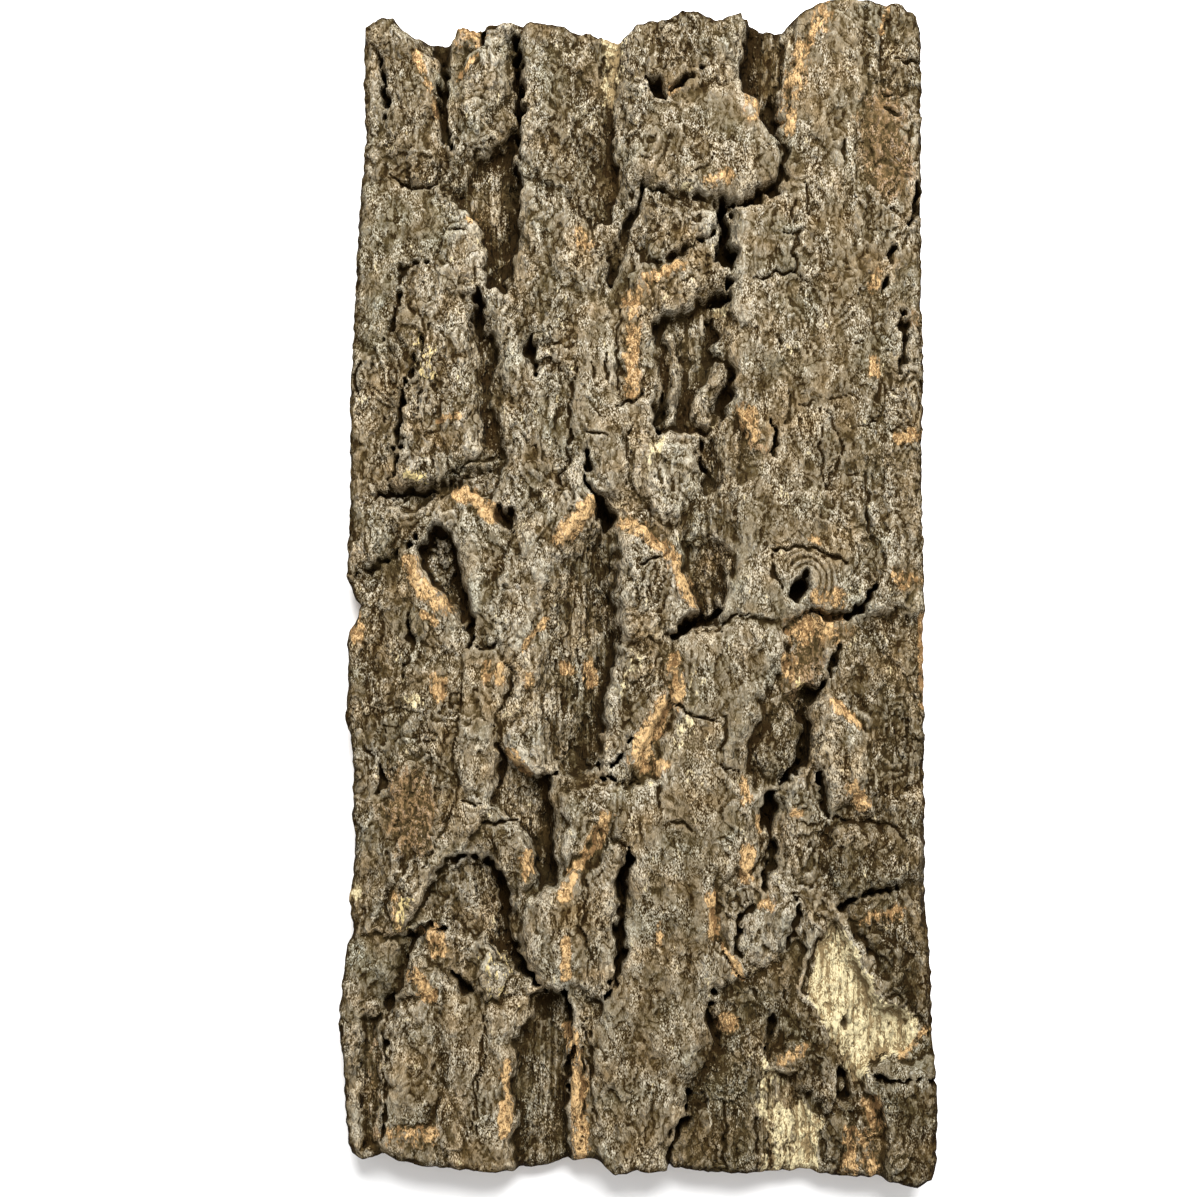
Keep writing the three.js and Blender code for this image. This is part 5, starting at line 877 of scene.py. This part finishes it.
def makeGrid(columns, rows):  # a flat sheet whose rim is drawn down in rings and closed by a back
    mesh = bmesh.new()
    bmesh.ops.create_grid(mesh, x_segments=columns, y_segments=rows, size=0.5)
    spotLayer, ringLayer = mesh.verts.layers.int.new("spot"), mesh.verts.layers.int.new("ring")
    for i, vert in enumerate(mesh.verts):
        vert[spotLayer] = i
    flat = np.array([v.co[:2] for v in mesh.verts])
    edges = [e for e in mesh.edges if e.is_boundary]
    for step in range(1, barkForm["sideRings"] + 1):
        made = bmesh.ops.extrude_edge_only(mesh, edges=edges)["geom"]
        edges = [g for g in made if isinstance(g, bmesh.types.BMEdge) and g.is_boundary]
        for edge in edges:
            for vert in edge.verts:
                vert[ringLayer] = step
                vert.co.z = -step
    bmesh.ops.triangle_fill(mesh, edges=edges, use_beauty=True)
    bmesh.ops.recalc_face_normals(mesh, faces=mesh.faces[:])
    data = bpy.data.meshes.new("barkSlab")
    mesh.to_mesh(data)
    mesh.free()
    return data, flat


def layOut(column, row, columns, rows):  # each grid point's place inside the drawn outline
    corners = [leftRim[-1:] + topRim[:1], topRim[-1:] + rightRim[:1],
               rightRim[-1:] + bottomRim[:1], bottomRim[-1:] + leftRim[:1]]
    topLeft, topRight, bottomRight, bottomLeft = [[(a[0] + b[0]) / 2, (a[1] + b[1]) / 2] for a, b in corners]
    top = walk([topLeft] + topRim + [topRight], columns + 1)
    right = walk([topRight] + rightRim + [bottomRight], rows + 1)
    bottom = walk([bottomRight] + bottomRim + [bottomLeft], columns + 1)[::-1]
    left = walk([bottomLeft] + leftRim + [topLeft], rows + 1)[::-1]
    u, v = (column / columns)[:, None], (row / rows)[:, None]
    place = ((1 - v) * top[column] + v * bottom[column] + (1 - u) * left[row] + u * right[row]
             - (1 - u) * (1 - v) * top[0] - u * (1 - v) * top[-1]
             - (1 - u) * v * bottom[0] - u * v * bottom[-1])
    return place[:, 0], place[:, 1]


def buildSlab():
    form = barkForm
    columns, rows = form["columns"], form["rows"]
    rim = topRim + rightRim + bottomRim + leftRim
    centre = [(min(p[a] for p in rim) + max(p[a] for p in rim)) / 2 for a in (0, 1)]
    data, flat = makeGrid(columns, rows)
    column = np.rint((flat[:, 0] + 0.5) * columns).astype(int)
    row = np.rint((0.5 - flat[:, 1]) * rows).astype(int)
    x, y = layOut(column, row, columns, rows)
    inland = outlineDistance(x, y, rim)
    fade = 1 - smooth(inland, 0, form["rimReach"])
    x = x + form["rimRough"] * ripple(x, y, form["rimSize"], form["rimSize"], seeds["rimX"]) * fade
    y = y + form["rimRough"] * ripple(x, y, form["rimSize"], form["rimSize"], seeds["rimY"]) * fade
    height, skin = shapeBark(x, y, np.maximum(inland, 0))
    stains = stainAndShadeBark(x, y)
    # painted light and painted shade from the tone spots join the tone
    skin["tone"] += stains.pop("tone")
    print("bark shaped at", len(x), "points, height", round(height.min(), 1), "to", round(height.max(), 1))

    table = np.zeros((rows + 1, columns + 1))
    table[row, column] = height
    # height less its blurred height at three widths, painted into the colour as shade in creases, furrows and
    # sunken ground and as highlight on crests
    near, middle, wide = [table - blur(blur(table, steps), steps) for steps in form["hollowSteps"]]
    paintedShading = {"crease": near, "furrow": middle, "sunk": wide}
    layers = {**stains, **skin, **{name: values[row, column] for name, values in paintedShading.items()}}

    count = len(data.vertices)
    spot, ring = np.zeros(count, int), np.zeros(count, int)
    data.attributes["spot"].data.foreach_get("value", spot)
    data.attributes["ring"].data.foreach_get("value", ring)
    share = ring / form["sideRings"]
    outX = (column[spot] == columns) * 1.0 - (column[spot] == 0)
    outY = (row[spot] == 0) * 1.0 - (row[spot] == rows)
    z = height[spot] * (1 - share)
    folds = creased(x[spot] + y[spot], z, *form["sideSize"], seeds["side"]) - form["sideMiddle"]
    tuck = form["sideRough"] * folds
    tuck = np.where(ring > 0, tuck + form["sideTuck"] * share ** 3, 0)
    spots = np.stack([x[spot] - centre[0] - tuck * outX, y[spot] - centre[1] - tuck * outY, z], 1) * mm
    data.vertices.foreach_set("co", spots.ravel())
    layers = {name: np.where(ring > 0, 0, values[spot]) for name, values in layers.items()}
    layers["side"] = np.minimum(ring, 1).astype(float)
    for name, values in layers.items():
        data.attributes.new(name, "FLOAT", "POINT").data.foreach_set("value", values)

    slab = bpy.data.objects.new("barkSlab", data)
    bpy.context.scene.collection.objects.link(slab)
    thin = slab.modifiers.new("thin", "DECIMATE")
    data.calc_loop_triangles()
    thin.ratio = form["faceBudget"] / len(data.loop_triangles)
    bpy.context.view_layer.objects.active = slab
    bpy.ops.object.modifier_apply(modifier="thin")
    slab.data.polygons.foreach_set("use_smooth", [True] * len(slab.data.polygons))
    print("slab has", len(slab.data.polygons), "faces")
    return slab, centre


slab, centre = buildSlab()


class Wire:
    # one output of a node, so that shader maths can be written as plain sums
    def __init__(self, net, socket):
        self.net, self.socket = net, socket

    def join(self, operation, *others):
        sockets = dict(enumerate((self,) + others))
        node = self.net.add("ShaderNodeMath", {"operation": operation}, sockets)
        return Wire(self.net, node.outputs[0])

    def __add__(self, other):
        return self.join("ADD", other)

    def __sub__(self, other):
        return self.join("SUBTRACT", other)

    def __rsub__(self, other):
        return self.join("MULTIPLY", -1.0).join("ADD", other)

    def __mul__(self, other):
        return self.join("MULTIPLY", other)

    __radd__ = __add__
    __rmul__ = __mul__


class Net:
    def __init__(self, name):
        self.material = bpy.data.materials.new(name)
        self.material.use_nodes = True
        self.tree = self.material.node_tree
        self.tree.nodes.clear()

    def add(self, kind, settings=None, sockets=None):
        node = self.tree.nodes.new(kind)
        for key, value in (settings or {}).items():
            setattr(node, key, value)
        for key, value in (sockets or {}).items():
            if isinstance(value, Wire):
                self.tree.links.new(value.socket, node.inputs[key])
            else:
                node.inputs[key].default_value = value
        return node

    def attribute(self, name):
        return Wire(self, self.add("ShaderNodeAttribute", {"attribute_name": name}).outputs["Fac"])

    def noise(self, place, stretch, scale, detail, roughness):
        node = self.add("ShaderNodeTexNoise", {}, {
            "Vector": self.vector("MULTIPLY", place, stretch), "Scale": scale, "Detail": detail,
            "Roughness": roughness})
        return Wire(self, node.outputs["Fac"])

    def vector(self, operation, *values, output=0):
        node = self.add("ShaderNodeVectorMath", {"operation": operation}, dict(enumerate(values)))
        return Wire(self, node.outputs[output])

    def bend(self, place, scale, detail, reach):
        sway = self.add("ShaderNodeTexNoise", {}, {"Vector": place, "Scale": scale, "Detail": detail})
        return self.vector("MULTIPLY_ADD", Wire(self, sway.outputs["Color"]), (reach, reach, reach), place)

    def facets(self, place, scale, toneShares, step):  # each small flat scale's height and random tone
        cell = self.add("ShaderNodeTexVoronoi", {}, {"Vector": place, "Scale": scale})
        colour = Wire(self, cell.outputs["Color"])
        away = self.vector("SUBTRACT", place, Wire(self, cell.outputs["Position"]))
        tilt = self.vector("SUBTRACT", colour, (0.5, 0.5, 0.5))
        rise = self.vector("DOT_PRODUCT", away, tilt, output="Value")
        tone = self.vector("DOT_PRODUCT", colour, toneShares, output="Value")
        return rise * scale + step * tone, tone

    def ramp(self, value, low, high):
        node = self.add("ShaderNodeMapRange", {"interpolation_type": "SMOOTHSTEP"}, {
            "Value": value, "From Min": low, "From Max": high})
        return Wire(self, node.outputs["Result"])

    def mix(self, share, first, second, blend="MIX"):  # colours are sockets 6 and 7, and output 2
        settings = {"data_type": "RGBA", "blend_type": blend, "clamp_factor": True}
        colours = [value if isinstance(value, Wire) else (*value, 1.0) for value in (first, second)]
        node = self.add("ShaderNodeMix", settings, {"Factor": share, 6: colours[0], 7: colours[1]})
        return Wire(self, node.outputs[2])

    def finish(self, sockets):
        shader = self.add("ShaderNodeBsdfPrincipled", {}, sockets)
        self.add("ShaderNodeOutputMaterial", {}, {"Surface": Wire(self, shader.outputs[0])})
        return self.material


barkLook = {
    "pit": (0.015, 0.008, 0.0017), "dark": (0.052, 0.0355, 0.0133), "middle": (0.152, 0.121, 0.076),
    "light": (0.372, 0.327, 0.243), "warm": (0.20, 0.128, 0.054),
    "corkDeep": (0.155, 0.088, 0.036), "cork": (0.45, 0.295, 0.135), "cream": (0.50, 0.425, 0.25),
    "creamDeep": (0.18, 0.128, 0.062), "rust": (0.20, 0.110, 0.040), "crumb": (0.46, 0.36, 0.165),
    "brown": (1.12, 0.98, 0.77), "olive": (0.92, 1.01, 1.05),
    "sideDark": (0.11, 0.064, 0.029), "sideLight": (0.33, 0.21, 0.096),
    "bump": 1.0, "bumpDepth": 0.0022, "roughness": 0.9, "specular": 0.06,
    "shine": 0.5, "shineRoughness": 0.45,
    "bendScale": 130.0, "bendDetail": 1.0, "bendReach": 0.007, "bendStretch": (1.0, 0.5, 1.0),
    "scaleScale": 270.0, "chipScale": 700.0, "toneShares": (0.6, 0.4, 0.0), "facetStep": 0.4,
    "flakeCount": 9.0,
    "level": 0.37, "creaseLimit": 0.35, "furrowLimit": 0.5,
    "grainShare": 1.8, "hueSwing": 3.0, "warmShare": 0.35,
    "tornRagged": 1.6, "tornShift": 0.04, "rustMost": 0.75, "tornRustMost": 0.8,
    "creamFibre": 1.2, "corkBroad": 0.5, "sawnRough": 0.6,
    "noise": {  # stretch across, along and up, scale, detail, roughness
        "broad": ((1.0, 1.0, 1.0), 26.0, 2.0, 0.55), "patchy": ((1.0, 0.6, 1.0), 105.0, 2.0, 0.6),
        "rough": ((1.0, 0.5, 1.0), 340.0, 2.0, 0.6), "grit": ((1.0, 0.45, 1.0), 900.0, 1.0, 0.6),
        "dust": ((1.0, 0.45, 1.0), 2000.0, 0.0, 0.55), "fibre": ((1.0, 0.05, 1.0), 560.0, 2.0, 0.6),
        "tint": ((1.0, 1.0, 1.0), 48.0, 2.0, 0.55), "warmth": ((1.0, 1.0, 1.0), 60.0, 2.0, 0.55),
        "rings": ((0.35, 0.35, 2.6), 190.0, 2.0, 0.6),
    },
    "unswung": ("warmth", "rings"),
    "folds": {"wide": ((1.0, 1.0, 1.0), 95.0, 1.5, 0.5), "fine": ((1.0, 1.0, 1.0), 230.0, 1.5, 0.5)},
    # how much each texture and each form of the surface lightens the bark; crease, furrow and sunk are
    # painted shade in hollows and painted highlight on crests, and tone holds the surface kinds' tone with
    # painted light and painted shade
    "levelShares": {"broad": 0.4, "patchy": 0.45, "rough": 0.4},
    "speckShares": {"grit": 1.0, "dust": 1.5}, "speckRange": (0.3, 1.2),
    "toneAndShadeShares": {"tone": 0.32, "crease": 0.45, "furrow": 0.13, "sunk": 0.05},
    "ruggedShares": {"flakes": 0.1, "scale": 0.2, "chip": 0.4, "fold": -0.5},
    "raggedShares": {"rough": 1.5, "patchy": 1.2, "grit": 0.6}, "crumbShares": {"rough": 2.6, "grit": 1.2},
    "reliefShares": {"rough": 0.6, "scale": 1.1, "chip": 1.0}, "gritRelief": 0.4, "fibreRelief": 0.8,
    "bands": {  # where one look passes into the next
        "fold": (0.003, 0.02), "thinFold": (0.003, 0.025), "crackled": (0.42, 0.6), "specks": (0.42, 0.6),
        "dark": (-0.25, 0.16), "middle": (0.08, 0.52), "light": (0.48, 1.1), "warmth": (0.5, 0.66),
        "warm": (0.0, 0.9), "torn": (0.0, 0.35), "rust": (0.3, 0.8), "tornRust": (0.12, 0.42),
        "rustLevel": (0.0, 0.85), "crumb": (0.78, 1.0), "cream": (-0.1, 0.55), "pale": (0.35, 0.6),
        "cork": (0.08, 0.78), "orange": (0.4, 0.62), "sawn": (0.35, 0.68), "side": (0.25, 0.75),
        "shine": (0.4, 1.1),
    },
}


def weigh(shares, values):
    return sum(share * values[name] for name, share in shares.items())


def barkMaterial():
    look, bands = barkLook, barkLook["bands"]
    net = Net("bark")
    place = Wire(net, net.add("ShaderNodeTexCoord").outputs["Object"])
    noise = {name: net.noise(place, *values) for name, values in look["noise"].items()}
    swing = {name: wire - 0.5 for name, wire in noise.items() if name not in look["unswung"]}
    # painted shade in creases, furrows and sunken ground and painted highlight on crests, read from the
    # height attributes
    form = {name: net.attribute(name) for name in look["toneAndShadeShares"]}
    form["crease"] = form["crease"].join("MINIMUM", look["creaseLimit"])
    form["furrow"] = form["furrow"].join("MINIMUM", look["furrowLimit"])
    grain, rugged = net.attribute("grain"), net.attribute("rugged")

    bent = net.bend(place, look["bendScale"], look["bendDetail"], look["bendReach"])
    bent = net.vector("MULTIPLY", bent, look["bendStretch"])
    folded, finer = [net.noise(bent, *look["folds"][name]) for name in ("wide", "fine")]
    fold = 1.0 - net.ramp((folded - 0.5).join("ABSOLUTE"), *bands["fold"])
    thinFold = 1.0 - net.ramp((finer - 0.5).join("ABSOLUTE"), *bands["thinFold"])
    fold = fold.join("MAXIMUM", thinFold * net.ramp(noise["broad"], *bands["crackled"]))
    scale, scaleTone = net.facets(bent, look["scaleScale"], look["toneShares"], look["facetStep"])
    chip, chipTone = net.facets(bent, look["chipScale"], look["toneShares"], look["facetStep"])
    flakes = (folded * look["flakeCount"]).join("FRACT")
    scales = {"flakes": flakes - 0.5, "scale": scaleTone - 0.5, "chip": chipTone - 0.5, "fold": fold}
    speckLeast, speckMore = look["speckRange"]
    speckled = speckLeast + speckMore * net.ramp(noise["patchy"], *bands["specks"])
    specks = speckled * weigh(look["speckShares"], swing)
    level = look["level"] + weigh(look["levelShares"], swing) + specks + weigh(look["toneAndShadeShares"], form)
    level = level + grain * swing["fibre"] * look["grainShare"] + rugged * weigh(look["ruggedShares"], scales)

    # the level, which holds the painted shade and painted highlight, picks the pit, dark, middle and light
    # colours
    colour = net.mix(net.ramp(level, *bands["dark"]), look["pit"], look["dark"])
    colour = net.mix(net.ramp(level, *bands["middle"]), colour, look["middle"])
    colour = net.mix(net.ramp(level, *bands["light"]), colour, look["light"])
    warm = net.mix(net.ramp(level, *bands["warm"]), look["dark"], look["warm"])
    colour = net.mix(net.ramp(noise["warmth"], *bands["warmth"]) * look["warmShare"], colour, warm)
    hue = net.attribute("hue") + look["hueSwing"] * swing["tint"]
    colour = net.mix(hue, colour, net.mix(1.0, colour, look["brown"], "MULTIPLY"))
    colour = net.mix(hue * -1.0, colour, net.mix(1.0, colour, look["olive"], "MULTIPLY"))

    ragged = weigh(look["raggedShares"], swing)
    torn = net.attribute("orange")
    torn = torn + net.ramp(torn, *bands["torn"]) * (look["tornRagged"] * ragged - look["tornShift"])
    rust = net.ramp(net.attribute("rust") + ragged, *bands["rust"]) * look["rustMost"]
    rust = rust.join("MAXIMUM", net.ramp(torn, *bands["tornRust"]) * look["tornRustMost"])
    colour = net.mix(rust, colour, net.mix(net.ramp(level, *bands["rustLevel"]), look["dark"], look["rust"]))
    crumb = net.ramp(net.attribute("crumb") + weigh(look["crumbShares"], swing), *bands["crumb"])
    colour = net.mix(crumb, colour, look["crumb"])
    fibred = net.ramp(level + look["creamFibre"] * swing["fibre"], *bands["cream"])
    cream = net.mix(fibred, look["creamDeep"], look["cream"])
    colour = net.mix(net.ramp(net.attribute("pale") + ragged, *bands["pale"]), colour, cream)
    corky = net.ramp(level + look["corkBroad"] * swing["broad"], *bands["cork"])
    cork = net.mix(corky, look["corkDeep"], look["cork"])
    colour = net.mix(net.ramp(torn, *bands["orange"]), colour, cork)
    banded = net.ramp(noise["rings"] + look["sawnRough"] * swing["rough"], *bands["sawn"])
    sawn = net.mix(banded, look["sideDark"], look["sideLight"])
    colour = net.mix(net.ramp(net.attribute("side"), *bands["side"]), colour, sawn)

    relief = rugged * weigh(look["reliefShares"], {"rough": noise["rough"], "scale": scale, "chip": chip})
    relief = relief + look["gritRelief"] * noise["grit"] + grain * noise["fibre"] * look["fibreRelief"]
    bump = net.add("ShaderNodeBump", {}, {
        "Strength": look["bump"], "Distance": look["bumpDepth"], "Height": relief})
    return net.finish({
        "Base Color": colour, "Roughness": look["roughness"], "Normal": Wire(net, bump.outputs[0]),
        "Specular IOR Level": look["specular"],
        "Coat Weight": net.ramp(level, *bands["shine"]) * look["shine"],
        "Coat Roughness": look["shineRoughness"]})


slab.data.materials.append(barkMaterial())
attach(slab, "root")
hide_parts("cork_bark_slab")
print("bark material set")

studio = {
    "floorSize": 6.0, "floorColour": (0.92, 0.92, 0.92), "floorRoughness": 0.9, "backgroundLight": 0.62,
    "keyPlace": (0.15, 1.1, 1.45), "keySize": 1.3, "keyPower": 95.0,
    "fillPlace": (0.8, -0.8, 1.6), "fillSize": 1.6, "fillPower": 4.0,
    "cameraPlace": (-21.6, -99.9, 919.7), "cameraTilt": 5.58, "cameraLens": 52.35, "cameraStart": 0.01,
}


def setFloor():
    mesh = bmesh.new()
    bmesh.ops.create_grid(mesh, x_segments=1, y_segments=1, size=studio["floorSize"] / 2)
    data = bpy.data.meshes.new("floor")
    mesh.to_mesh(data)
    mesh.free()
    floor = bpy.data.objects.new("floor", data)
    bpy.context.scene.collection.objects.link(floor)
    look = {"Base Color": (*studio["floorColour"], 1.0), "Roughness": studio["floorRoughness"]}
    floor.data.materials.append(Net("floor").finish(look))


def setLights():
    world = bpy.data.worlds.new("studio")
    bpy.context.scene.world = world
    world.use_nodes = True
    backdrop = world.node_tree.nodes["Background"]
    backdrop.inputs["Color"].default_value = (1.0, 1.0, 1.0, 1.0)
    backdrop.inputs["Strength"].default_value = studio["backgroundLight"]
    for name in ("key", "fill"):
        light = bpy.data.lights.new(name, "AREA")
        light.shape = "DISK"
        light.size = studio[name + "Size"]
        light.energy = studio[name + "Power"]
        lamp = bpy.data.objects.new(name, light)
        lamp.location = studio[name + "Place"]
        lamp.rotation_euler = (-Vector(studio[name + "Place"])).to_track_quat("-Z", "Y").to_euler()
        bpy.context.scene.collection.objects.link(lamp)


def setCamera():
    camera = bpy.data.cameras.new("camera")
    camera.lens = studio["cameraLens"]
    camera.clip_start = studio["cameraStart"]
    eye = bpy.data.objects.new("camera", camera)
    px, py, pz = studio["cameraPlace"]
    eye.location = ((px - centre[0]) * mm, (py - centre[1]) * mm, pz * mm)
    eye.rotation_euler = (math.radians(studio["cameraTilt"]), 0, 0)
    bpy.context.scene.collection.objects.link(eye)
    bpy.context.scene.camera = eye
    bpy.context.scene.view_settings.view_transform = "Standard"


setFloor()
setLights()
setCamera()
print("studio set")
